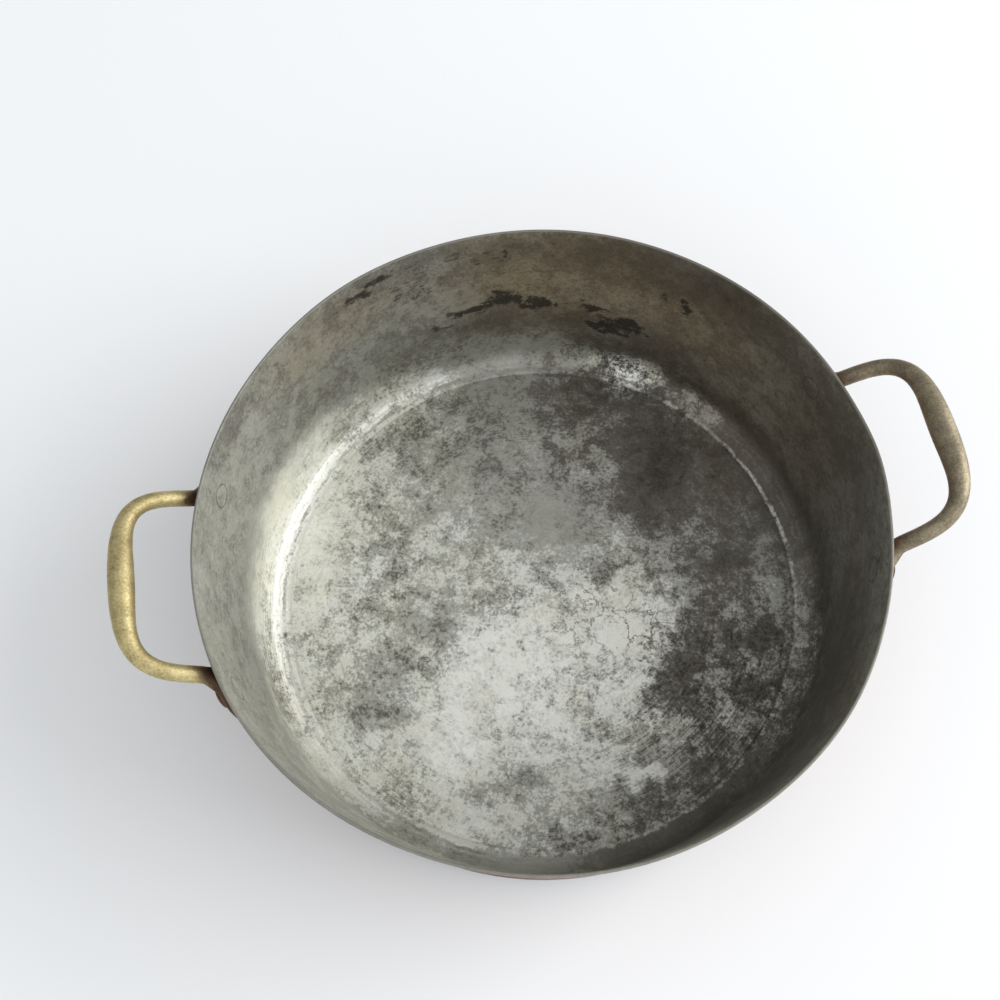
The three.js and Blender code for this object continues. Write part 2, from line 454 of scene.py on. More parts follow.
FLOOR_WEAR = floor_patches(
    # the whole floor is paler than the wall, but not towards the right handle
    (-20, -20, 170, 170, 0.10), (80, 0, 40, 100, -0.18),
    # the scoured middle, brightest of all
    (4, -32, 74, 38, 0.34), (-40, -50, 40, 32, 0.22), (42, -18, 30, 24, 0.26),
    (14, -66, 60, 26, 0.12), (-52, -74, 26, 22, 0.16), (30, -96, 14, 9, 0.25),
    # paler places round it
    (-94, 40, 28, 56, 0.20), (-96, 0, 26, 40, 0.18), (-42, 34, 24, 30, 0.06),
    (-14, 12, 22, 16, 0.12), (-84, -66, 40, 34, 0.20), (-66, 76, 44, 30, 0.10),
    (78, 16, 20, 15, 0.12), (100, 24, 20, 34, 0.10), (94, -24, 26, 20, 0.14),
    (-32, 98, 20, 20, 0.10), (-64, -62, 26, 24, 0.07), (10, -92, 16, 12, 0.24),
    (84, -82, 24, 16, 0.04), (114, -24, 17, 62, 0.15), (-52, -60, 20, 22, 0.08),
    (-52, -106, 26, 14, 0.16),
    # dark places, with a few paler ones among them
    (52, -56, 20, 26, -0.18), (60, -58, 24, 22, -0.10), (91, -72, 18, 14, -0.13),
    (46, 40, 22, 22, -0.09), (-84, -14, 20, 40, -0.06), (-82, -54, 34, 44, -0.08),
    (-90, -78, 26, 14, -0.08), (-30, 94, 50, 20, -0.08), (-112, -16, 14, 60, -0.07),
    (-84, 0, 42, 90, -0.06), (-40, -40, 14, 14, -0.04), (60, 18, 22, 16, -0.09),
    (50, 72, 18, 14, -0.08), (50, -56, 16, 18, -0.08), (-66, 4, 20, 20, -0.05),
    (-44, -110, 26, 12, 0.08), (-90, 62, 40, 30, -0.07), (-8, -104, 40, 16, 0.12),
    (96, -74, 18, 26, 0.05), (30, 72, 26, 14, -0.10), (40, -110, 34, 14, -0.08),
    (66, 56, 26, 44, -0.28), (50, 98, 44, 24, -0.24), (-20, 76, 110, 54, -0.08),
    (-28, 112, 22, 12, -0.12), (36, 112, 34, 12, -0.12), (84, -4, 24, 10, -0.10),
    (78, -42, 36, 12, -0.10), (68, -28, 16, 10, -0.12), (104, -52, 20, 30, -0.10),
    (56, -94, 56, 18, -0.10), (-90, -48, 22, 14, -0.22), (-90, 10, 14, 16, -0.14),
    (-58, -8, 32, 14, -0.14), (24, 42, 44, 40, -0.06), (-70, 56, 18, 22, 0.09),
    (-70, 0, 18, 24, 0.12), (-90, -10, 16, 16, 0.07), (-8, -72, 24, 16, 0.15),
    (52, 30, 18, 16, -0.11), (50, -70, 18, 16, -0.11), (-50, 110, 18, 12, -0.08),
    (-10, 30, 16, 14, -0.07), (-10, 70, 16, 14, -0.07), (-60, -90, 22, 14, 0.09),
    (110, -50, 12, 16, 0.10), (10, 0, 16, 22, 0.05), (12, -44, 20, 22, -0.06),
    (-2, -28, 14, 10, 0.06), (-68, 26, 30, 12, -0.05), (-48, 110, 16, 10, -0.06),
    (10, 110, 20, 10, -0.08), (38, 112, 16, 10, 0.08), (-68, -70, 18, 14, -0.05),
    (72, -30, 16, 16, -0.05), (10, 32, 16, 14, -0.05), (-10, 4, 14, 18, -0.08),
    (20, -11, 22, 12, 0.09), (-70, 30, 18, 14, 0.10), (-90, -36, 16, 20, 0.07),
    (-10, 50, 14, 14, -0.08), (-50, 50, 18, 14, -0.06), (32, 8, 16, 12, -0.08),
    (110, -10, 12, 20, 0.08), (-30, -90, 18, 12, -0.06), (-58, -52, 14, 12, -0.07),
    (86, -52, 18, 14, 0.05),
)

WALL_WEAR_AND_PAINTED_LIGHT = wall_patches(
    # the pale band low on the left, scoured by spoons; at 40 to 55 degrees the pale corner is
    # partly rubbed tin and partly a painted highlight
    (176, 8, 50, 34, 0.33), (150, 10, 50, 34, 0.28), (128, 8, 38, 26, 0.25),
    (200, 6, 46, 24, 0.24), (110, 5, 34, 14, 0.30), (55, 5, 26, 11, 0.38), (40, 3, 24, 9, 0.20),
    (150, 16, 70, 30, 0.10), (-135, 24, 80, 60, 0.10),
    # the darker far and right walls: partly darker tin, partly painted shade
    (100, 94, 120, 26, -0.14), (80, 70, 80, 34, -0.10), (-60, 30, 120, 80, -0.08),
    (24, 6, 80, 20, -0.18), (82, 36, 56, 18, -0.13), (128, 55, 100, 50, -0.07),
    (182, 30, 70, 70, -0.08), (152, 92, 44, 14, -0.12), (120, 35, 64, 48, -0.04),
    (136, 26, 26, 14, 0.12), (40, 92, 70, 14, -0.06), (66, 18, 40, 12, -0.08),
    (-8, 8, 70, 26, -0.12), (52, 88, 70, 34, -0.20), (15, 88, 80, 34, -0.12),
    (50, 14, 60, 24, -0.14), (75, 4, 22, 10, -0.12), (96, 28, 60, 24, -0.12),
    (62, 30, 54, 34, -0.14), (30, 44, 90, 80, -0.16), (-8, 46, 90, 90, -0.18),
    (-45, 46, 90, 90, -0.18), (-80, 46, 60, 80, -0.08), (96, 84, 40, 8, 0.06),
)

# beyond the crease only: the pale band on the left, partly scoured tin and partly a painted
# highlight, and the dull corner near the front
CORNER_WEAR_AND_HIGHLIGHT = wall_patches(
    (160, 4, 80, 13, 0.20), (-172, 6, 50, 14, -0.10), (-75, 3, 70, 12, -0.16),
    (-55, 3, 50, 12, -0.06), (-122, 1, 50, 9, -0.14),
)

# beyond the crease only: where the corner shows hardly any speckle
SMOOTHED = wall_patches(
    (-90, 4, 110, 60, 0.8), (-140, 10, 60, 40, 0.4),
)

STAINS = wall_patches(
    # the ragged upper edge of the dark band on the far wall
    (86, 53, 12, 8, 1.1), (94, 46, 16, 6, 0.9), (101, 40, 14, 4, 0.7), (78, 46, 18, 7, 0.8),
    (67, 45, 15, 5, 1.2), (60, 36, 17, 9, 1.3), (66, 30, 14, 7, 0.9),
    # spots and dashes
    (53, 70, 5, 5, 1.2), (48, 64, 6, 7, 1.3), (49, 69, 4, 4, 0.9), (86, 84, 5, 4, 1.2),
    (83, 86, 4, 3, 1.1), (117, 86, 18, 3, 0.9), (111, 90, 12, 3, 1.1), (103, 68, 14, 4, 0.6),
    (102, 80, 70, 20, 0.42), (84, 48, 46, 7, 0.6), (-19, 84, 5, 5, 1.0),
)

# where the mottling is stronger or weaker than elsewhere
SPECKLED = floor_patches(
    (75, -60, 50, 50, 0.6), (8, -34, 70, 46, 0.35), (-20, -96, 80, 30, -0.3),
    (-85, -40, 34, 60, -0.2), (20, 32, 36, 34, -0.45), (-20, 50, 70, 50, -0.35),
    (-10, 90, 70, 34, -0.2), (60, 60, 30, 40, -0.2), (-50, 0, 36, 30, -0.3),
) + wall_patches(
    (88, 6, 60, 26, -0.6), (10, 6, 80, 26, -0.5), (170, 30, 110, 22, -0.5), (58, 5, 24, 12, 1.2),
)

# where the scratches are deeper
SCRATCHED = floor_patches(
    (52, -88, 64, 40, 1.8), (-10, 96, 80, 28, 0.9), (-80, -70, 40, 40, 0.8),
    (-96, 10, 34, 60, -0.7),
)

# beyond the crease only: where the band on the left is streaky
STREAKED = wall_patches(
    (165, 8, 110, 30, 3.0),
)

# where the skin has a browner tint
BROWNED = wall_patches(
    (70, 66, 100, 60, 0.9), (30, 50, 80, 80, 0.5), (122, 80, 60, 26, 0.4),
)

# where the pale middle of the floor is crazed by dark cracks
CRACKS = floor_patches(
    (28, -20, 46, 30, 1.0), (48, -34, 24, 18, 0.8),
)

# how strongly the pale crease line shows, over its strength all round; it is partly rubbed tin and
# partly a painted highlight
CREASE_RUBS_AND_HIGHLIGHT = wall_patches(
    (52, 1, 34, 20, 0.9), (8, 1, 60, 20, 0.35), (120, 1, 60, 20, 0.6), (165, 1, 70, 20, 0.6),
    (-122, 1, 50, 20, 0.4),
)


@dataclass(frozen=True)
class Grain:
    """Noise of one size.

    Attributes:
        size: The size of its grains, in millimetres.
        detail: How many finer layers it has.
        roughness: How strong the finer layers are.
    """

    size: float
    detail: float = 3.0
    roughness: float = 0.5

    def lay(self, coat: Coat, place: Source) -> Node:
        """Draws the noise at a place on the surface."""
        return coat.add("TexNoise", (place, 1 / (self.size * MM), self.detail, self.roughness))


@dataclass(frozen=True)
class Flecks(Grain):
    """Noise with its contrast raised, so that it runs from 0 to 1.

    Attributes:
        low: The noise that turns to 0.
        high: The noise that turns to 1.
    """

    detail: float = 4.0
    roughness: float = 0.62
    low: float = 0.25
    high: float = 0.75

    def lay(self, coat: Coat, place: Source) -> Node:
        """Draws the flecks at a place on the surface."""
        grain = super().lay(coat, place)
        return coat.add("MapRange", (grain, self.low, self.high), interpolation_type="SMOOTHSTEP")


@dataclass(frozen=True)
class Relief:
    """A fine relief.

    Attributes:
        strength: How strongly it shows.
        depth: Its depth, in millimetres.
    """

    strength: float
    depth: float

    def lay(self, coat: Coat, height: Source) -> None:
        """Gives the surface the relief of a height that runs from 0 to 1."""
        inputs = {"Height": height, "Strength": self.strength, "Distance": self.depth * MM}
        coat.give("Normal", coat.add("Bump", inputs))


@dataclass(frozen=True)
class Ring:
    """A line on the lining round an axis or a place.

    Attributes:
        radius: The line's radius, in millimetres.
        half_width: Half its width, in millimetres.
        colour: Its sRGB colour.
        strength: Its share of the colour in its middle.
        core: The share of its width that has its full strength.
    """

    radius: float
    half_width: float
    colour: str
    strength: float
    core: float = 0.3


@dataclass(frozen=True)
class Layers:
    """The places and noises that the lining's tone and marks share.

    Attributes:
        radius: The distance from the pot's axis, in metres.
        height: The height above the underside, in metres.
        ragged: The place on the surface, shifted a little, so that patches get ragged edges.
        beyond: 1 beyond the crease, 0 on the floor.
        floor_share: How strongly the texture shows, more on the floor than on the wall.
        speckle_share: How strongly it shows in places.
        speckle: The finest flecks.
        pits: Scattered fine flecks.
        mottle: The middling flecks.
        islands: The coarse flecks.
        clouds: The coarsest flecks.
        strokes: Noise in long thin strokes that follow the pot round.
        scratch_tone: The same strokes about 0, deeper in places.
    """

    radius: Source
    height: Source
    ragged: Source
    beyond: Source
    floor_share: Source
    speckle_share: Source
    speckle: Source
    pits: Source
    mottle: Source
    islands: Source
    clouds: Source
    strokes: Source
    scratch_tone: Source


@dataclass(frozen=True)
class WornTinLining(Finish):
    """Tin wiped on hot over the copper sheet, then scoured for years.

    Tin is a soft pale grey metal. Scouring keeps it pale and a little silvery, with fine
    scratches that follow the pot round; elsewhere it dulls to a dark brown-grey skin, and the
    edge between the two breaks up into fine speckle. Its colour also holds painted shade on the
    far and right walls, and painted highlights on the crease and in two corners.
    """

    # from the darkest skin to the palest metal
    shades: tuple[tuple[float, str], ...] = (
        (0.02, "332e29"),
        (0.25, "6f6b63"),
        (0.50, "a8a8a0"),
        (0.75, "dbdbd3"),
        (1.00, "fbfbf4"),
    )
    stain: str = "2a2520"
    rim: str = "7f7c72"
    warm_tint: str = "f5f3ea"
    brown_tint: str = "fae6cf"
    # the wear where no patch lies, and the most that counts
    level: float = 0.5
    palest_wear: float = 1.0
    # dark skin hides the texture: the wear between which it comes in, and its least share
    texture_wear: Flat = (0.1, 0.6)
    texture_least: float = 0.45
    # dull skin and pale metal, and the tones at which they are reached
    metallic: Flat = (0.5, 0.55)
    roughness: Flat = (0.62, 0.45)
    dull_and_pale: Flat = (0.1, 1.0)
    # the speckle is a little coarser than the real one, so that it shows at this distance
    speckle: Flecks = Flecks(1.6, 3.0, 0.8, 0.36, 0.64)
    pits: Flecks = Flecks(2.8, low=0.58, high=0.66)
    mottle: Flecks = Flecks(6.5, 6.0, 0.75, 0.40, 0.60)
    islands: Flecks = Flecks(14.0, 8.0, 0.75, 0.465, 0.535)
    clouds: Flecks = Flecks(30.0)
    # what each layer adds to the texture: the value that changes nothing, and its weight
    speckle_part: Flat = (0.45, 0.28)
    pits_part: Flat = (0.0, -0.18)
    mottle_part: Flat = (0.5, 0.22)
    islands_part: Flat = (0.5, 0.23)
    scratch_part: Flat = (0.0, 0.16)
    # the noises are turned by these angles about a place far off the pot, so that neither
    # their grid nor the star at their origin shows; angles in radians, place in metres
    noise_turn: Point = (0.6, 0.8, 0.3)
    noise_centre: Point = (0.5, 0.9, -0.7)
    # the noise that makes the patches' edges ragged, and how far it shifts them
    ragged_grain: Grain = Grain(15.0, 6.0, 0.66)
    ragged_reach: Point = (36.0, 36.0, 22.0)
    # the strokes have their length at this radius
    scratch_width: float = 0.9
    scratch_length: float = 16.0
    scratch_radius: float = 90.0
    scratch_detail: float = 3.0
    scratch_contrast: Flat = (0.25, 0.75)
    # they would turn into rays in the middle, so they fade out between these radii
    scratch_fade: Flat = (25.0, 75.0)
    scratch_relief: float = 0.6
    relief: Relief = Relief(0.2, 0.12)
    # how much the mottle, the strokes and the speckle break up the stains, and the sums between
    # which a stain comes in
    stain_breaks: Point = (0.8, 0.8, 0.25)
    stain_fade: Flat = (1.3, 2.1)
    stain_share: float = 0.9
    # the size of the cells between the cracks, and a crack's edges as shares of its width
    crack_size: float = 16.0
    crack_width: float = 0.5
    crack_fade: Flat = (0.4, 1.4)
    crack_share: float = 0.75
    # the texture fades from the floor to the wall between these heights
    floor_fade: Flat = (7.2, 28.8)
    wall_texture: float = 0.4
    # the tones between which a step rises, and the shares of the steps
    tone_steps: tuple[Flat, ...] = ((0.36, 0.44), (0.62, 0.70))
    darkest_step: float = 0.25
    step_height: float = 0.3
    step_share: float = 0.4
    crease_radius: float = 123.8
    crease_wander: float = 0.9
    crease_top: float = 6.0
    crease_strength: float = 0.3
    # how strongly the crease shows in the gaps and the islands of the coarse flecks, and in
    # the gaps and the grains of the finest
    crease_breaks: Flat = (0.05, 1.4)
    crease_grains: Flat = (0.35, 1.25)
    # how far beyond the crease the corner's own marks begin and have their full strength
    beyond_fade: Flat = (0.6, 2.2)
    beyond_wander: float = 1.4
    rings: tuple[Ring, ...] = (
        # the pale crease line, partly rubbed tin and partly a painted highlight; the others are
        # dull lines beside it
        Ring(crease_radius, 1.5, "d8d5ca", 0.95),
        Ring(crease_radius + 2.7, 1.1, "6e685e", 0.7),
        Ring(crease_radius + 5.2, 0.8, "8b877d", 0.5),
        Ring(crease_radius + 7.6, 0.7, "8b877d", 0.35),
    )
    rivet_place: Point = (130.6, 43.2, 76.8)
    rivet_ring: Ring = Ring(5.1, 0.5, "4a443c", 0.6)
    # the heights between which the rim's own grey comes in, and its share
    rim_fade: Flat = (96.3, 96.9)
    rim_share: float = 0.75

    def dress(self, coat: Coat) -> None:
        """Dresses the lining: worn and dull places, with painted shade and highlights among them,
        scratches, stains and the crease.

        Args:
            coat: The material's nodes.
        """
        layers = self.layers(coat)
        tone = self.toned(coat, layers)
        coat.give("Base Color", self.coloured(coat, tone, layers))
        for name, (dull, pale) in (("Metallic", self.metallic), ("Roughness", self.roughness)):
            coat.give(name, coat.add("MapRange", (tone, *self.dull_and_pale, dull, pale)))
        relief = coat.add(
            "Math",
            (layers.scratch_tone, self.scratch_relief, layers.speckle),
            operation="MULTIPLY_ADD",
        )
        self.relief.lay(coat, relief)

    def layers(self, coat: Coat) -> Layers:
        """Draws the places and noises that the tone and the marks share.

        Args:
            coat: The material's nodes.

        Returns:
            The layers.
        """
        flat, radius = coat.off_axis()
        height = coat.add("SeparateXYZ", (coat.place,)).outputs["Z"]
        low, high = (edge * MM for edge in self.floor_fade)
        floor_share = coat.add("MapRange", (height, low, high, 1.0, self.wall_texture))
        turned = coat.add(
            "VectorRotate",
            (coat.place, self.noise_centre, self.noise_turn),
            rotation_type="EULER_XYZ",
        )
        ragged = self.ragged_place(coat, turned)
        scratches = self.scratches(coat, flat, radius, height)
        speckle = self.speckle.lay(coat, turned)
        speckle_share = coat.add("Math", (coat.field(ragged, SPECKLED), 1.0), operation="ADD")
        pits = self.pits.lay(coat, turned)
        islands = self.islands.lay(coat, turned)
        mottle = self.mottle.lay(coat, turned)
        clouds = self.clouds.lay(coat, coat.place)
        beyond = coat.add(
            "Math", (mottle, self.beyond_wander * MM, radius), operation="MULTIPLY_ADD"
        )
        low, high = ((self.crease_radius + away) * MM for away in self.beyond_fade)
        beyond = coat.add("MapRange", (beyond, low, high))
        depth = coat.add("Math", (coat.field(ragged, SCRATCHED), 1.0), operation="ADD")
        streaked = coat.field(coat.place, STREAKED)
        depth = coat.add("Math", (streaked, beyond, depth), operation="MULTIPLY_ADD")
        scratch_tone = coat.add("Math", (scratches, 0.5), operation="SUBTRACT")
        low, high = (edge * MM for edge in self.scratch_fade)
        off_middle = coat.add("MapRange", (radius, low, high))
        strokes = coat.add("Math", (scratch_tone, off_middle, 0.5), operation="MULTIPLY_ADD")
        scratch_tone = coat.scaled(scratch_tone, off_middle, depth)
        return Layers(
            radius,
            height,
            ragged,
            beyond,
            floor_share,
            speckle_share,
            speckle,
            pits,
            mottle,
            islands,
            clouds,
            strokes,
            scratch_tone,
        )

    def toned(self, coat: Coat, layers: Layers) -> Node:
        """Works out the tone from the worn places, with painted shade and highlights among them,
        and the texture.

        Args:
            coat: The material's nodes.
            layers: The shared layers.

        Returns:
            The tone, from 0, dark, to 1, pale.
        """
        # the wear patches also hold painted shade on the far and right walls, and painted
        # highlights in the corner on the left and at the far right
        corner_wear_and_highlight = coat.field(coat.place, CORNER_WEAR_AND_HIGHLIGHT)
        smoothed = coat.field(coat.place, SMOOTHED)
        wear_and_painted_light = coat.field(layers.ragged, FLOOR_WEAR + WALL_WEAR_AND_PAINTED_LIGHT)
        wear_and_painted_light = coat.add("Math", (corner_wear_and_highlight, layers.beyond, wear_and_painted_light), operation="MULTIPLY_ADD")
        wear_and_painted_light = coat.add("Math", (wear_and_painted_light, self.level), operation="ADD")
        texture: Source = 0.0
        for layer, (middle, weight) in (
            (layers.speckle, self.speckle_part),
            (layers.pits, self.pits_part),
            (layers.mottle, self.mottle_part),
            (layers.islands, self.islands_part),
            (layers.scratch_tone, self.scratch_part),
        ):
            centred = coat.add("Math", (layer, middle), operation="SUBTRACT")
            texture = coat.add("Math", (centred, weight, texture), operation="MULTIPLY_ADD")
        wear_and_painted_light = coat.add("Math", (wear_and_painted_light, self.palest_wear), operation="MINIMUM")
        showing = coat.add("MapRange", (wear_and_painted_light, *self.texture_wear, self.texture_least, 1.0))
        smoothed = coat.add(
            "Math", (smoothed, layers.beyond), operation="MULTIPLY", use_clamp=True
        )
        unsmoothed = coat.add("Math", (1.0, smoothed), operation="SUBTRACT")
        texture = coat.scaled(
            texture, showing, layers.floor_share, unsmoothed, layers.speckle_share
        )
        tone = coat.add("Math", (texture, wear_and_painted_light), operation="ADD")
        return self.stepped(coat, tone, layers.floor_share)

    def coloured(self, coat: Coat, tone: Source, layers: Layers) -> Node:
        """Turns the tone to a colour and draws the marks over it.

        Args:
            coat: The material's nodes.
            tone: The tone, from 0, dark, to 1, pale.
            layers: The shared layers.

        Returns:
            The colour.
        """
        colour = set_stops(coat.add("ValToRGB", (tone,)), self.shades)
        browned = coat.field(layers.ragged, BROWNED)
        for share, tint in ((layers.clouds, self.warm_tint), (browned, self.brown_tint)):
            colour = coat.add(
                "Mix", (share, colour, linear(tint)), data_type="RGBA", blend_type="MULTIPLY"
            )
        for mark in (self.stained, self.cracked, self.creased):
            colour = mark(coat, colour, layers)
        colour = self.ringed(coat, colour)
        low, high = (edge * MM for edge in self.rim_fade)
        share = coat.add("MapRange", (layers.height, low, high, 0.0, self.rim_share))
        return coat.add("Mix", (share, colour, linear(self.rim)), data_type="RGBA")

    def stepped(self, coat: Coat, tone: Source, share: Source) -> Node:
        """Sharpens the edges between dark skin, grey tin and pale metal.

        Args:
            coat: The material's nodes.
            tone: The tone, from 0, dark, to 1, pale.
            share: How strongly the steps show here.

        Returns:
            The stepped tone.
        """
        steps: Source = self.darkest_step
        for low, high in self.tone_steps:
            step = coat.add("MapRange", (tone, low, high, 0.0, self.step_height))
            steps = coat.add("Math", (step, steps), operation="ADD")
        change = coat.add("Math", (steps, tone), operation="SUBTRACT")
        change = coat.add("Math", (change, share), operation="MULTIPLY")
        return coat.add("Math", (change, self.step_share, tone), operation="MULTIPLY_ADD")

    def ragged_place(self, coat: Coat, turned: Source) -> Node:
        """Shifts the place on the surface a little, so that patches get ragged edges.

        Args:
            coat: The material's nodes.
            turned: The place that the noises are taken at.

        Returns:
            The shifted place.
        """
        shift = self.ragged_grain.lay(coat, turned).outputs["Color"]
        centred = coat.add("VectorMath", (shift, (0.5, 0.5, 0.5)), operation="SUBTRACT")
        reach = [edge * MM for edge in self.ragged_reach]
        return coat.add("VectorMath", (centred, reach, coat.place), operation="MULTIPLY_ADD")

    def scratches(self, coat: Coat, flat: Source, radius: Source, height: Source) -> Node:
        """Draws noise in long thin strokes that follow the pot round.

        Args:
            coat: The material's nodes.
            flat: The place on the surface without its height.
            radius: Its distance from the pot's axis.
            height: Its height.

        Returns:
            The strokes' strength.
        """
        outward = coat.add("VectorMath", (flat,), operation="NORMALIZE")
        along = coat.add("Math", (radius, height), operation="ADD")
        across = coat.add("Math", (along, 1 / (self.scratch_width * MM)), operation="MULTIPLY")
        turns = coat.add(
            "VectorMath", (outward, self.scratch_radius / self.scratch_length), operation="SCALE"
        )
        split = coat.add("SeparateXYZ", (turns,)).outputs
        strokes = coat.add("CombineXYZ", (split["X"], split["Y"], across))
        turned = coat.add(
            "VectorRotate",
            {"Vector": strokes, "Rotation": self.noise_turn},
            rotation_type="EULER_XYZ",
        )
        grain = coat.add("TexNoise", (turned, 1.0, self.scratch_detail))
        return coat.add("MapRange", (grain, *self.scratch_contrast))

    def stained(self, coat: Coat, colour: Source, layers: Layers) -> Node:
        """Lays burnt-on stains over a colour.

        Args:
            coat: The material's nodes.
            colour: The colour so far.
            layers: The noises, which break up the stains and draw them out along the wall.

        Returns:
            The stained colour.
        """
        broken = coat.field(layers.ragged, STAINS)
        noises = (layers.mottle, layers.strokes, layers.speckle)
        for noise, weight in zip(noises, self.stain_breaks):
            broken = coat.add("Math", (noise, weight, broken), operation="MULTIPLY_ADD")
        share = coat.add(
            "MapRange",
            (broken, *self.stain_fade, 0.0, self.stain_share),
            interpolation_type="SMOOTHSTEP",
        )
        return coat.add("Mix", (share, colour, linear(self.stain)), data_type="RGBA")

    def cracked(self, coat: Coat, colour: Source, layers: Layers) -> Node:
        """Draws the dark cracks in the pale middle of the floor.

        Args:
            coat: The material's nodes.
            colour: The colour so far.
            layers: The ragged place, which bends the cracks.

        Returns:
            The cracked colour.
        """
        cells = coat.add(
            "TexVoronoi",
            {"Vector": layers.ragged, "Scale": 1 / (self.crack_size * MM)},
            feature="DISTANCE_TO_EDGE",
        )
        distance = cells.outputs["Distance"]
        low, high = (edge * self.crack_width / self.crack_size for edge in self.crack_fade)
        crack = coat.add("MapRange", (distance, low, high, self.crack_share, 0.0))
        mask = coat.field(layers.ragged, CRACKS)
        share = coat.add("Math", (crack, mask), operation="MULTIPLY", use_clamp=True)
        return coat.add("Mix", (share, colour, linear(self.shades[1][1])), data_type="RGBA")

    def creased(self, coat: Coat, colour: Source, layers: Layers) -> Source:
        """Draws the pale crease line round the floor, partly rubbed tin and partly a painted
        highlight, and the dull lines beside it.

        Args:
            coat: The material's nodes.
            colour: The colour so far.
            layers: The noises, which break the lines, make them wander and grainy.

        Returns:
            The colour with the crease.
        """
        strength = coat.add(
            "Math",
            (coat.field(coat.place, CREASE_RUBS_AND_HIGHLIGHT), self.crease_strength),
            operation="ADD",
            use_clamp=True,
        )
        breaks = coat.add("MapRange", (layers.islands, 0.0, 1.0, *self.crease_breaks))
        strength = coat.add("Math", (strength, breaks), operation="MULTIPLY", use_clamp=True)
        low = coat.add("Math", (layers.height, self.crease_top * MM), operation="LESS_THAN")
        strength = coat.add("Math", (strength, low), operation="MULTIPLY")
        grainy = coat.add("MapRange", (layers.speckle, 0.0, 1.0, *self.crease_grains))
        strength = coat.add("Math", (strength, grainy), operation="MULTIPLY", use_clamp=True)
        wandering = coat.add(
            "Math",
            (layers.mottle, self.crease_wander * MM, layers.radius),
            operation="MULTIPLY_ADD",
        )
        # the first ring is the pale crease line: partly rubbed tin, partly a painted highlight
        for ring in self.rings:
            colour = self.lined(coat, colour, wandering, ring, strength)
        return colour

    def lined(
        self, coat: Coat, colour: Source, distance: Source, ring: Ring, strength: Source
    ) -> Node:
        """Draws one ring over a colour.

        Args:
            coat: The material's nodes.
            colour: The colour so far.
            distance: The distance from the ring's centre.
            ring: The ring.
            strength: How strongly the ring shows here.

        Returns:
            The colour with the ring.
        """
        off = coat.add("Math", (distance, ring.radius * MM), operation="SUBTRACT")
        off = coat.add("Math", (off,), operation="ABSOLUTE")
        half_width = ring.half_width * MM
        near = coat.add(
            "MapRange",
            (off, ring.core * half_width, half_width, ring.strength, 0.0),
            interpolation_type="SMOOTHSTEP",
        )
        share = coat.add("Math", (near, strength), operation="MULTIPLY")
        return coat.add("Mix", (share, colour, linear(ring.colour)), data_type="RGBA")

    def ringed(self, coat: Coat, colour: Source) -> Node:
        """Darkens the fine line round each flush rivet head.

        Args:
            coat: The material's nodes.
            colour: The colour so far.

        Returns:
            The colour with the lines.
        """
        folded = coat.add("VectorMath", (coat.place,), operation="ABSOLUTE")
        rivet = [edge * MM for edge in self.rivet_place]
        away = coat.add("VectorMath", (folded, rivet), operation="DISTANCE").outputs["Value"]
        return self.lined(coat, colour, away, self.rivet_ring, 1.0)


@dataclass(frozen=True)
class PatinatedCopper(Finish):
    """Drawn copper sheet, never polished: a brown oxide skin, sooty towards the base.

    The skin gives a dull warm brown with redder rubbed places and a fine grain.
    """

    rubbed: str = "8c5a40"
    skin: str = "6c4634"
    soot: str = "33261f"
    metallic: float = 0.85
    roughness: Flat = (0.58, 0.40)
    # the blotches, and their values between which the metal turns rubbed, and smoother
    blotches: Grain = Grain(18.0, 6.0, 0.62)
    rubbed_fade: Flat = (0.3, 0.74)
    smooth_fade: Flat = (0.3, 0.7)
    # how high the soot reaches, and by how much its edge waves
    soot_height: float = 34.0
    soot_waves: float = 30.0
    soot_share: float = 0.85
    grain: Grain = Grain(1.4)
    relief: Relief = Relief(0.2, 0.1)

    def dress(self, coat: Coat) -> None:
        """Dresses the outside: rubbed and dull copper, and soot low down.

        Args:
            coat: The material's nodes.
        """
        blotch = self.blotches.lay(coat, coat.place)
        rubbed = coat.add(
            "MapRange", (blotch, *self.rubbed_fade), interpolation_type="SMOOTHSTEP"
        )
        colour = coat.add(
            "Mix", (rubbed, linear(self.skin), linear(self.rubbed)), data_type="RGBA"
        )
        height = coat.add("SeparateXYZ", (coat.place,)).outputs["Z"]
        wavy = coat.add("Math", (blotch, -self.soot_waves * MM, height), operation="MULTIPLY_ADD")
        start = -self.soot_waves / 2
        sooty = coat.add(
            "MapRange",
            (wavy, start * MM, (start + self.soot_height) * MM, self.soot_share, 0.0),
            interpolation_type="SMOOTHSTEP",
        )
        colour = coat.add("Mix", (sooty, colour, linear(self.soot)), data_type="RGBA")
        coat.give("Base Color", colour)
        coat.give("Metallic", self.metallic)
        coat.give("Roughness", coat.add("MapRange", (blotch, *self.smooth_fade, *self.roughness)))
        self.relief.lay(coat, self.grain.lay(coat, coat.place))


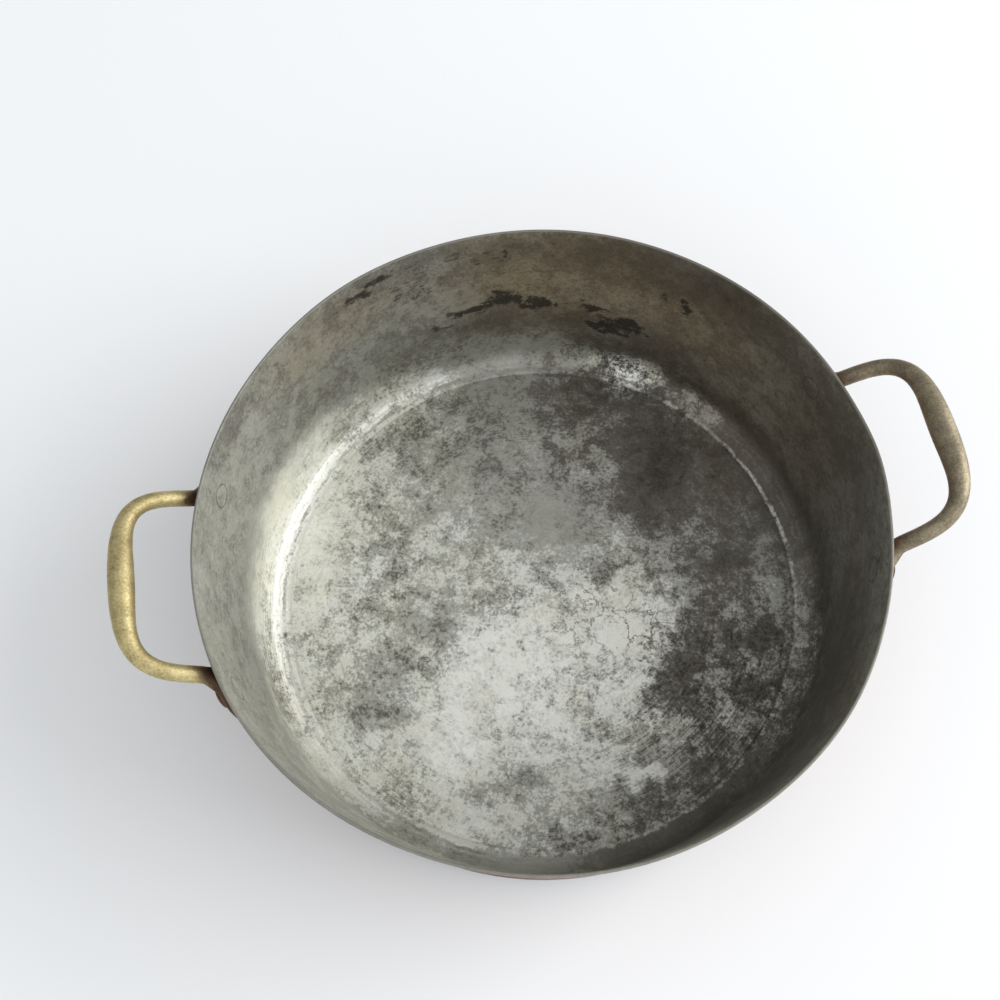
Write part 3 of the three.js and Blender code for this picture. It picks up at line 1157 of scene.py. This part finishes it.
@dataclass(frozen=True)
class AgedCastBrass(Finish):
    """Sand-cast brass, filed smooth and aged by hands.

    It gives a dull olive gold, rubbed brighter in places, with fine pitting from the sand, and
    a dark reddish brown at the roots: grime with painted shade and a painted copper reflection.
    """

    rubbed: str = "e4d6a6"
    skin: str = "b6a777"
    grime: str = "77694a"
    # the dark reddish brown at the roots: partly grime, partly painted shade and a painted
    # reflection of the copper wall
    darkened: str = "40281c"
    # the values of the mixed noises at which the grime, the skin and the rubbed metal show
    tones: Point = (0.27, 0.54, 0.86)
    metallic: float = 0.75
    # dull and rubbed metal, and the mixed noises at which they are reached
    roughness: Flat = (0.62, 0.48)
    rough_tones: Flat = (0.36, 0.76)
    # the blotches and the grain of the sand, and their weights in the mixed noise
    blotches: Grain = Grain(7.0, 5.0, 0.6)
    grain: Grain = Grain(0.9)
    blotch_weight: float = 0.6
    grain_weight: float = 0.5
    relief: Relief = Relief(0.35, 0.25)
    # the radii between which the roots' grime and painted shade end, wandering by the waves
    root_grime_shade_fade: Flat = (147.5, 154.0)
    root_grime_shade_waves: float = 8.0
    root_grime_shade_share: float = 0.92
    # the right handle's roots are darkened less than the left one's
    right_root_grime_shade: float = 0.45

    def dress(self, coat: Coat) -> None:
        """Dresses the handles: rubbed gold, dull skin, grime, and roots darkened by grime and
        painted shade.

        Args:
            coat: The material's nodes.
        """
        blotch = self.blotches.lay(coat, coat.place)
        grain = self.grain.lay(coat, coat.place)
        finer = coat.add("Math", (grain, self.grain_weight), operation="MULTIPLY")
        both = coat.add("Math", (blotch, self.blotch_weight, finer), operation="MULTIPLY_ADD")
        stops = list(zip(self.tones, (self.grime, self.skin, self.rubbed)))
        colour = set_stops(coat.add("ValToRGB", (both,)), stops)
        # towards the wall the roots darken: grime, painted shade and a painted reflection of the
        # copper
        _, radius = coat.off_axis()
        wavy = coat.add("Math", (blotch, self.root_grime_shade_waves * MM, radius), operation="MULTIPLY_ADD")
        low, high = (edge * MM for edge in self.root_grime_shade_fade)
        darkened = coat.add(
            "MapRange", (wavy, low, high, self.root_grime_shade_share, 0.0), interpolation_type="SMOOTHSTEP"
        )
        along = coat.add("SeparateXYZ", (coat.place,)).outputs["X"]
        root_side_share = coat.add("MapRange", (along, -MM, MM, 1.0, self.right_root_grime_shade))
        darkened = coat.add("Math", (darkened, root_side_share), operation="MULTIPLY")
        colour = coat.add("Mix", (darkened, colour, linear(self.darkened)), data_type="RGBA")
        coat.give("Base Color", colour)
        coat.give("Metallic", self.metallic)
        coat.give("Roughness", coat.add("MapRange", (both, *self.rough_tones, *self.roughness)))
        self.relief.lay(coat, both)


@dataclass(frozen=True)
class WhitePaint(Finish):
    """Matt white paint on the board that the pot stands on: a plain pale floor."""

    colour: str = "f4f5f5"
    roughness: float = 0.7

    def dress(self, coat: Coat) -> None:
        """Dresses the board with one plain colour."""
        coat.give("Base Color", linear(self.colour))
        coat.give("Roughness", self.roughness)


# the pot's sub-assemblies


@dataclass
class PotShell:
    """The shell: floor, round corner, leaning wall and rounded rim, with its lining.

    Attributes:
        rim_radius: The outer radius at the rim.
        height: The pot's height.
        lean: How far the wall leans out, in radians.
        sheet: The thickness of the sheet.
        corner_radius: The radius of the corner inside.
        rim_rounding: The radius of the rim's rounded edges.
        tin_lap: How far the tin reaches down outside, below the rim's rounded edge.
        crease_depth: The depth of the crease where the floor ends.
        crease_run: Where the crease begins, ends and has run out, from the foot of the corner.
        segments: The number of steps round the pot.
        bulges: Where the wall stands a little out of round.
        bulge_foot: The height at which the bulges begin.
        bulge_rise: How far above it they have their full strength.
        lining: The finish inside.
        outside: The finish outside.
    """

    rim_radius: float = 139.95
    height: float = 97.0
    lean: float = math.radians(3.2)
    sheet: float = 1.3
    corner_radius: float = 11.2
    rim_rounding: float = 0.5
    tin_lap: float = 1.6
    crease_depth: float = 0.25
    crease_run: Point = (0.5, -0.8, -1.6)
    segments: int = 384
    # how many steps the profile takes along each of its stretches
    under_steps: int = 8
    outer_corner_steps: int = 14
    outer_wall_steps: int = 16
    rim_steps: int = 5
    inner_wall_steps: int = 20
    inner_corner_steps: int = 16
    floor_steps: int = 24
    # middle and reach in degrees from the right handle, and how far out in mm
    bulges: tuple[Point, ...] = (
        (-120.0, 24.0, -1.5),
        (-1.0, 8.0, 1.0),
        (-46.0, 13.0, 0.9),
        (117.0, 14.0, 0.8),
        (50.0, 16.0, -0.3),
    )
    bulge_foot: float = 4.0
    bulge_rise: float = 30.0
    lining: Finish = field(default_factory=lambda: WornTinLining("worn wiped tin lining"))
    outside: Finish = field(default_factory=lambda: PatinatedCopper("patinated drawn copper"))

    def wall_radius(self, height: float, outside: float = 0.0) -> float:
        """Returns the radius of a surface beside the wall's outer face.

        Args:
            height: The height above the underside.
            outside: How far outside the wall's outer face the surface runs.

        Returns:
            The radius, in millimetres.
        """
        lean_in = (self.height - height) * math.tan(self.lean)
        return self.rim_radius - lean_in + outside / math.cos(self.lean)

    def outer_profile(self) -> list[Flat]:
        """Returns the profile from the middle of the underside up to the rim."""
        corner = self.corner_radius + self.sheet
        corner_x = self.wall_radius(corner, -corner)
        rim_z = self.height - self.rim_rounding
        rim_x = self.wall_radius(rim_z, -self.rim_rounding)
        lower = arc(
            (corner_x, corner), corner, -QUARTER_TURN, -self.lean, self.outer_corner_steps
        )
        rim = arc((rim_x, rim_z), self.rim_rounding, -self.lean, QUARTER_TURN, self.rim_steps)
        lap_z = rim_z - self.tin_lap
        lap = (self.wall_radius(lap_z), lap_z)
        under = line((0, 0), lower[0], self.under_steps)
        wall = line(lower[-1], lap, self.outer_wall_steps)
        return [(0.0, 0.0), *under, *lower, *wall, lap, *rim]

    def inner_profile(self) -> list[Flat]:
        """Returns the profile from the rim down inside to the middle of the floor."""
        corner = self.corner_radius + self.sheet
        corner_x = self.wall_radius(corner, -corner)
        rim_z = self.height - self.rim_rounding
        rim_x = self.wall_radius(rim_z, self.rim_rounding - self.sheet)
        rim = arc(
            (rim_x, rim_z), self.rim_rounding, QUARTER_TURN, math.pi - self.lean, self.rim_steps
        )
        upper = arc(
            (corner_x, corner),
            self.corner_radius,
            -self.lean,
            -QUARTER_TURN,
            self.inner_corner_steps,
        )
        wall = line(rim[-1], upper[0], self.inner_wall_steps)
        bottom = self.sheet - self.crease_depth
        begin, end, run_out = (corner_x + away for away in self.crease_run)
        crease = [
            (begin, bottom),
            (corner_x, bottom),
            (end, self.sheet),
            (run_out, self.sheet),
        ]
        middle = (0.0, self.sheet)
        floor = line(crease[-1], middle, self.floor_steps)
        return [*rim, *wall, *upper[:-1], *crease, *floor, middle]

    def dent(self, point: Vector) -> Vector:
        """Moves a point of the wall in or out, as an old pot's wall is never quite round.

        Args:
            point: A point of the shell.

        Returns:
            The point, moved square to the axis.
        """
        share = smooth_share((point.z - self.bulge_foot) / self.bulge_rise)
        angle = math.degrees(math.atan2(point.y, point.x))
        shift = 0.0
        for middle, reach, bulge in self.bulges:
            away = math.remainder(angle - middle, 360)
            shift += bulge * math.exp(-((away / reach) ** 2))
        return point + Vector((point.x, point.y, 0)).normalized() * shift * share

    def build(self) -> bpy.types.Object:
        """Builds and dresses the shell.

        Returns:
            The shell's object.
        """
        outer, inner = self.outer_profile(), self.inner_profile()
        points, faces = turned_mesh(outer + inner, self.segments)
        shell = make_object("shell", [self.dent(point) for point in points], faces)
        for finish in (self.outside, self.lining):
            shell.data.materials.append(finish.material())
        # the tin starts at the lap, the last point before the rim's rounded edge
        lined_from = len(outer) - self.rim_steps - 3
        caps_from = (len(outer) + len(inner) - 3) * self.segments
        for face in shell.data.polygons:
            if face.index < caps_from:
                lined = face.index // self.segments >= lined_from
            else:
                lined = face.center.z > self.sheet * MM / 2
            face.material_index = int(lined)
        return seat(shell, Slot.SHELL, "pot_body")


@dataclass
class Station:
    """One place on a handle's path, with the section there.

    Attributes:
        centre: The middle of the section.
        up: The section's thickness direction, made square to the path later.
        width: The section's half width.
        thickness: The section's half thickness.
        squareness: 2 for a round section, more for a squarer one.
    """

    centre: Vector
    up: Vector
    width: float
    thickness: float
    squareness: float = 2.0

    def ring(self, tangent: Vector, segments: int) -> list[Vector]:
        """Lists the points round the section.

        Args:
            tangent: The direction of the path, of length one.
            segments: The number of points.

        Returns:
            The points, square to the path.
        """
        up = (self.up - tangent * self.up.dot(tangent)).normalized()
        across = up.cross(tangent)
        power = 2 / self.squareness
        points = []
        for i in range(segments):
            angle = 2 * math.pi * i / segments
            wide = math.copysign(abs(math.cos(angle)) ** power, math.cos(angle))
            thick = math.copysign(abs(math.sin(angle)) ** power, math.sin(angle))
            points.append(
                self.centre + across * (self.width * wide) + up * (self.thickness * thick)
            )
        return points


@dataclass
class LoopHandle:
    """A cast loop handle: a swelling grip, two legs and two tongue feet on the wall.

    Attributes:
        shell: The shell that the feet lie on.
        side: The side of the pot.
        finish: The casting's material.
        loop_length: How far the loop stands out, along its leaning plane.
        loop_half_width: Half the width of the loop at its grip.
        leg_spread: How far each leg spreads from there to the wall.
        root_drop: How far below the rim the legs reach the wall.
        leg_standoff: How far outside the wall the middle of a leg ends.
        tilt: How far the loop leans up, in radians.
        squareness: The squareness of the loop; 2 would make it an ellipse.
        grip_radius: The radius in the middle of the grip.
        swell_length: How far along the grip it swells, to either side of its middle.
        leg_radius: The radius of the legs.
        bend_reach: How far above and below the root a leg bends.
        foot_core: How deep inside the foot its path runs.
        foot_half_width: Half the foot's width at the rivet.
        foot_half_thickness: Half the foot's thickness.
        foot_tip_half_thickness: Half its thickness at the tip.
        foot_tail: How far the foot reaches below the rivet.
        foot_squareness: The squareness of the foot's section.
        rivet_drop: How far below the rim the rivet lies.
        rivet_outset: How far the rivet lies outside the leg.
        seat_gap: The gap between the foot and the wall.
        section_segments: The number of points round a section.
        station_crowding: More than 1 crowds the loop's stations towards the grip's middle.
    """

    shell: PotShell
    side: Side
    finish: bpy.types.Material
    loop_length: float = 32.1
    loop_half_width: float = 36.6
    leg_spread: float = 2.2
    root_drop: float = 10.0
    leg_standoff: float = 3.8
    tilt: float = math.radians(32.4)
    squareness: float = 3.8
    grip_radius: float = 5.1
    swell_length: float = 40.0
    leg_radius: float = 3.4
    bend_reach: float = 4.4
    foot_core: float = 1.5
    foot_half_width: float = 12.0
    foot_half_thickness: float = 2.6
    foot_tip_half_thickness: float = 1.2
    foot_tail: float = 13.0
    foot_squareness: float = 3.0
    rivet_drop: float = 20.2
    rivet_outset: float = 4.8
    seat_gap: float = 0.3
    section_segments: int = 40
    station_crowding: float = 1.5
    # how many stations the path has on the loop, the bend, the foot and its tail
    loop_stations: int = 64
    bend_stations: int = 16
    foot_stations: int = 6
    tail_stations: int = 24

    def __post_init__(self) -> None:
        """Works out where the legs meet the wall and where the rivets lie."""
        self.root_z = self.shell.height - self.root_drop
        self.root_y = self.loop_half_width + self.leg_spread
        root_radius = self.shell.wall_radius(self.root_z, self.leg_standoff)
        self.root_angle = math.asin(self.root_y / root_radius)
        self.root_x = root_radius * math.cos(self.root_angle)
        self.fall_to_rivet = self.rivet_drop - self.root_drop
        self.rivet_z = self.shell.height - self.rivet_drop
        rivet_radius = self.shell.wall_radius(self.rivet_z)
        self.rivet_angle = math.asin((self.root_y + self.rivet_outset) / rivet_radius)
        self.foot_face = self.seat_gap + self.foot_core + self.foot_half_thickness

    def loop_point(self, along: float, across: float) -> Vector:
        """Finds a point of the loop in its leaning plane.

        Args:
            along: How far it stands out from the root.
            across: How far it lies to the side of the handle's middle.

        Returns:
            The point.
        """
        return Vector(
            (
                self.root_x + along * math.cos(self.tilt),
                across,
                self.root_z + along * math.sin(self.tilt),
            )
        )

    def foot_point(self, fall: float) -> Vector:
        """Finds a point of the foot's path.

        Args:
            fall: How far it lies below the loop's root.

        Returns:
            The point.
        """
        angle = mix(self.root_angle, self.rivet_angle, fall / self.fall_to_rivet)
        height = self.root_z - fall
        radius = self.shell.wall_radius(height, self.seat_gap + self.foot_core)
        return Vector((radius * math.cos(angle), radius * math.sin(angle), height))

    def spread_at(self, fall: float) -> float:
        """Returns how far the leg has spread into the foot, from 0 to 1, below the root."""
        start = -self.bend_reach / 2
        return min(1.0, max(0.0, (fall - start) / (self.fall_to_rivet - start)))

    def loop(self) -> list[Station]:
        """Lists the stations from the middle of the grip to where the leg starts to bend."""
        normal = Vector((-math.sin(self.tilt), 0, math.cos(self.tilt)))
        power = 2 / self.squareness
        last = math.acos((self.bend_reach / self.loop_length) ** (1 / power))
        stations: list[Station] = []
        length = 0.0
        for i in range(self.loop_stations):
            angle = last * (i / (self.loop_stations - 1)) ** self.station_crowding
            along = self.loop_length * math.cos(angle) ** power
            across = self.loop_half_width * math.sin(angle) ** power
            across += self.leg_spread * (1 - along / self.loop_length)
            centre = self.loop_point(along, across)
            if stations:
                length += (centre - stations[-1].centre).length
            swell = math.cos(QUARTER_TURN * min(1.0, length / self.swell_length)) ** 2
            radius = mix(self.leg_radius, self.grip_radius, swell)
            stations.append(Station(centre, normal, radius, radius))
        return stations

    def foot_station(
        self,
        leg_end: Station,
        centre: Vector,
        thickness: float,
        spread: float = 1.0,
        turn: float = 1.0,
        narrowing: float = 1.0,
    ) -> Station:
        """Makes one station of the bend or the foot.

        Args:
            leg_end: The last station of the loop.
            centre: The middle of the section.
            thickness: The section's half thickness.
            spread: How far the section has spread from the leg's to the foot's, from 0 to 1.
            turn: How far it has turned to lie on the wall, from 0 to 1.
            narrowing: The share of its width that it has there.

        Returns:
            The station.
        """
        inward = Vector((-centre.x, -centre.y, 0)).normalized()
        inward.z = math.tan(self.shell.lean)
        width = mix(self.leg_radius, self.foot_half_width, smooth_share(spread)) * narrowing
        up = leg_end.up.lerp(inward, smooth_share(turn))
        squareness = mix(leg_end.squareness, self.foot_squareness, spread)
        return Station(centre, up, width, thickness, squareness)

    def foot(self, leg_end: Station) -> list[Station]:
        """Lists the stations of the bend and the foot.

        Args:
            leg_end: The last station of the loop.

        Returns:
            The stations, down to just before the foot's tip.
        """
        root = self.loop_point(0, self.root_y)
        bend_end = self.foot_point(self.bend_reach)
        stations: list[Station] = []
        for i in range(1, self.bend_stations + 1):
            share = i / self.bend_stations
            spread = self.spread_at(mix(-self.bend_reach, self.bend_reach, share))
            first = leg_end.centre.lerp(root, share)
            centre = first.lerp(root.lerp(bend_end, share), share)
            thickness = mix(self.leg_radius, self.foot_half_thickness, spread)
            stations.append(self.foot_station(leg_end, centre, thickness, spread, share))
        for i in range(1, self.foot_stations + 1):
            fall = mix(self.bend_reach, self.fall_to_rivet, i / self.foot_stations)
            centre, spread = self.foot_point(fall), self.spread_at(fall)
            stations.append(self.foot_station(leg_end, centre, self.foot_half_thickness, spread))
        for i in range(1, self.tail_stations):
            angle = QUARTER_TURN * i / self.tail_stations
            thickness = mix(
                self.foot_tip_half_thickness, self.foot_half_thickness, math.cos(angle)
            )
            centre = self.foot_point(self.fall_to_rivet + self.foot_tail * math.sin(angle))
            stations.append(
                self.foot_station(leg_end, centre, thickness, narrowing=math.cos(angle))
            )
        return stations

    def build(self) -> bpy.types.Object:
        """Builds and dresses the handle.

        Returns:
            The handle's object.
        """
        half = self.loop()
        half += self.foot(half[-1])
        count = self.section_segments
        rings = []
        for i, station in enumerate(half):
            mirrored_next = Vector((half[1].centre.x, -half[1].centre.y, half[1].centre.z))
            before = half[i - 1].centre if i else mirrored_next
            after = half[min(i + 1, len(half) - 1)].centre
            rings.append(station.ring((after - before).normalized(), count))
        other = [[Vector((p.x, -p.y, p.z)) for p in ring] for ring in reversed(rings[1:])]
        rings = other + rings
        points = [point for ring in rings for point in ring]
        faces: list[tuple[int, ...]] = []
        for low in range(0, len(points) - count, count):
            high = low + count
            for j in range(count):
                k = (j + 1) % count
                faces.append((low + j, low + k, high + k, high + j))
        faces.append(tuple(reversed(range(count))))
        faces.append(tuple(range(len(points) - count, len(points))))
        turn = Matrix.Rotation(self.side.value, 3, "Z")
        name = f"{self.side.name.lower()}_loop_handle"
        handle = make_object(name, [turn @ point for point in points], faces)
        handle.data.materials.append(self.finish)
        return seat(handle, Slot.HANDLE, f"{self.side.name.lower()}_handle")


@dataclass
class Rivet:
    """A rivet: a flush tinned head inside the wall and a low dome on the handle's foot.

    Attributes:
        handle: The handle that it holds.
        end: The end of the handle.
        tinned: The material of the head inside.
        bare: The material of the dome outside.
        head_radius: The radius of the head.
        head_proud: How far the middle of the head stands out of the wall.
        head_rise: The head's shape, as shares of its radius and of how far it stands out.
        shank_share: The shank's radius as a share of the head's.
        dome_radius: The radius of the dome.
        dome_height: The height of the dome over the foot.
        dome_edge: The height of the dome's upright edge.
        dome_sunk: How deep the dome is set into the foot.
        dome_steps: The number of steps from the dome's edge to its top.
        segments: The number of steps round the rivet.
    """

    handle: LoopHandle
    end: End
    tinned: bpy.types.Material
    bare: bpy.types.Material
    head_radius: float = 4.9
    head_proud: float = 0.2
    head_rise: tuple[Flat, ...] = ((0.0, 1.0), (0.6, 0.95), (0.94, 0.7), (1.0, 0.0))
    shank_share: float = 0.6
    dome_radius: float = 5.2
    dome_height: float = 2.2
    dome_edge: float = 0.5
    dome_sunk: float = 0.6
    dome_steps: int = 8
    segments: int = 48

    def profile(self) -> list[Flat]:
        """Returns the half profile along the rivet, from the wall's outer face."""
        sheet = self.handle.shell.sheet
        foot = self.handle.foot_face + self.handle.seat_gap
        shank = self.head_radius * self.shank_share
        head = [
            (self.head_radius * out, -sheet - self.head_proud * rise)
            for out, rise in self.head_rise
        ]
        head += [(self.head_radius, -sheet / 2), (shank, -sheet / 2)]
        dome = [(shank, foot - self.dome_sunk), (self.dome_radius, foot - self.dome_sunk)]
        for i in range(self.dome_steps + 1):
            angle = QUARTER_TURN * i / self.dome_steps
            radius = self.dome_radius * math.cos(angle)
            dome.append((radius, foot + mix(self.dome_edge, self.dome_height, math.sin(angle))))
        return head + dome

    def build(self) -> bpy.types.Object:
        """Builds and dresses the rivet.

        Returns:
            The rivet's object.
        """
        points, faces = turned_mesh(self.profile(), self.segments)
        shell = self.handle.shell
        angle = self.handle.side.value + self.place_sign() * self.handle.rivet_angle
        place = (
            Matrix.Rotation(angle, 4, "Z")
            @ Matrix.Translation((shell.wall_radius(self.handle.rivet_z), 0, self.handle.rivet_z))
            @ Matrix.Rotation(QUARTER_TURN + shell.lean, 4, "Y")
        )
        side = self.handle.side.name.lower()
        end = self.end.name.lower()
        inside = [point.z < 0 for point in points]
        # the head follows the round wall
        points = [
            point - Vector((0, 0, point.y**2 / (2 * shell.rim_radius))) if point.z < 0 else point
            for point in points
        ]
        rivet = make_object(f"{side}_{end}_set_rivet", [place @ point for point in points], faces)
        rivet.data.materials.append(self.bare)
        rivet.data.materials.append(self.tinned)
        for face in rivet.data.polygons:
            face.material_index = int(all(inside[v] for v in face.vertices))
        return seat(rivet, Slot.RIVET, f"{side}_{end}_rivet")

    def place_sign(self) -> int:
        """Returns which way round the pot the rivet lies from its handle's middle."""
        return self.end.value if self.handle.side is Side.RIGHT else -self.end.value


# the studio


@dataclass(frozen=True)
class Lamp:
    """A soft rectangular lamp.

    Attributes:
        name: The lamp's name.
        place: Where it hangs, in metres.
        target: What it points at, in metres.
        size: Its width and height, in metres.
        power: Its power, in watts.
        colour: Its sRGB colour.
    """

    name: str
    place: Point
    target: Point
    size: Flat
    power: float
    colour: str

    def hang(self) -> None:
        """Hangs the lamp in the scene."""
        data = bpy.data.lights.new(self.name, "AREA")
        data.shape = "RECTANGLE"
        data.size, data.size_y = self.size
        data.energy = self.power
        data.color = linear(self.colour)[:3]
        lamp = bpy.data.objects.new(self.name, data)
        aim = Vector(self.target) - Vector(self.place)
        turn = aim.to_track_quat("-Z", "Y").to_matrix().to_4x4()
        lamp.matrix_world = Matrix.Translation(self.place) @ turn
        bpy.context.scene.collection.objects.link(lamp)


@dataclass
class Studio:
    """The pale board, the soft light and the camera.

    Attributes:
        camera_place: The camera's place, in millimetres.
        yaw: The camera's turn to the right, in degrees.
        pitch: How far it looks down, in degrees.
        roll: Its roll, in degrees.
        film_width: The width of its picture, in millimetres.
        focal_share: The focal length as a share of the picture's width.
        shift_y: How far the picture is shifted, as a share of its width.
        clip_start: How far off the nearest things are that it sees, in metres.
        window: The lamp in front of the window.
        window_side: The direction of the window, where the room is brighter.
        room_colour: The sRGB colour of the room's light.
        room_strength: How bright the room is away from the window and towards it.
        room_fade: How much the dark and the bright side face the window, from -1 to 1.
        board_half: Half the width of the board, in millimetres.
    """

    camera_place: Point = (-23.8, -158.5, 464.95)
    yaw: float = 2.93
    pitch: float = 67.856
    roll: float = -7.795
    film_width: float = 36.0
    focal_share: float = 1.0
    shift_y: float = 0.04
    clip_start: float = 0.01
    window: Lamp = Lamp("window", (3.2, -0.15, 1.4), (0, 0, 0.03), (3.4, 2.2), 114.0, "fdfeff")
    window_side: Point = (0.25, -0.8, 0.55)
    room_colour: str = "f6f8fb"
    room_strength: Flat = (0.24, 1.16)
    room_fade: Flat = (-0.6, 1.0)
    board_half: float = 2500.0

    def add_camera(self) -> None:
        """Adds the camera at the photograph's viewing angle."""
        yaw, pitch, roll = (math.radians(a) for a in (self.yaw, self.pitch, self.roll))
        forward = Vector(
            (math.sin(yaw) * math.cos(pitch), math.cos(yaw) * math.cos(pitch), -math.sin(pitch))
        )
        right = Vector((math.cos(yaw), -math.sin(yaw), 0))
        up = right.cross(forward)
        rolled_right = right * math.cos(roll) + up * math.sin(roll)
        rolled_up = up * math.cos(roll) - right * math.sin(roll)
        axes = Matrix((rolled_right, rolled_up, -forward)).transposed().to_4x4()
        data = bpy.data.cameras.new("camera")
        data.sensor_width = self.film_width
        data.lens = self.focal_share * self.film_width
        data.sensor_fit = "HORIZONTAL"
        data.shift_y = self.shift_y
        data.clip_start = self.clip_start
        camera = bpy.data.objects.new("camera", data)
        camera.matrix_world = Matrix.Translation(Vector(self.camera_place) * MM) @ axes
        bpy.context.scene.collection.objects.link(camera)
        bpy.context.scene.camera = camera

    def add_world(self) -> None:
        """Adds the pale room, brighter on the window's side."""
        world = bpy.data.worlds.new("pale room")
        world.use_nodes = True
        tree = world.node_tree
        tree.nodes.clear()
        direction = add_node(tree, "TexCoord").outputs["Generated"]
        towards = tuple(Vector(self.window_side).normalized())
        facing = add_node(tree, "VectorMath", (direction, towards), operation="DOT_PRODUCT")
        strength = add_node(
            tree,
            "MapRange",
            (facing.outputs["Value"], *self.room_fade, *self.room_strength),
            interpolation_type="SMOOTHSTEP",
        )
        light = add_node(tree, "Background", (linear(self.room_colour), strength))
        add_node(tree, "OutputWorld", {"Surface": light})
        bpy.context.scene.world = world

    def add_floor(self) -> None:
        """Adds the pale board that the pot stands on."""
        corners = [
            Vector((x * self.board_half, y * self.board_half, 0))
            for x, y in ((-1, -1), (1, -1), (1, 1), (-1, 1))
        ]
        floor = make_object("floor", corners, [tuple(range(len(corners)))])
        floor.data.materials.append(WhitePaint("matt white paint").material())

    def build(self) -> None:
        """Builds the whole studio."""
        self.add_camera()
        self.add_world()
        self.window.hang()
        self.add_floor()
        bpy.context.scene.view_settings.view_transform = "Standard"


def main() -> None:
    """Builds the pot and its studio in order."""
    logging.basicConfig(level=logging.INFO, format="%(message)s")
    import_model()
    shell = PotShell()
    shell_object = shell.build()
    tinned = shell_object.data.materials[1]
    darkened = PatinatedCopper("scorched copper rivets", "5e4234", "46332a").material()
    finishes = {
        Side.RIGHT: AgedCastBrass(
            "greyed sand-cast brass", "b9ad90", "8b806a", "5f574a", "5a4c3e"
        ),
        Side.LEFT: AgedCastBrass("aged sand-cast brass"),
    }
    for side in Side:
        handle = LoopHandle(shell, side, finishes[side].material())
        handle.build()
        for end in End:
            Rivet(handle, end, tinned, darkened).build()
    Studio().build()


if __name__ == "__main__":
    main()
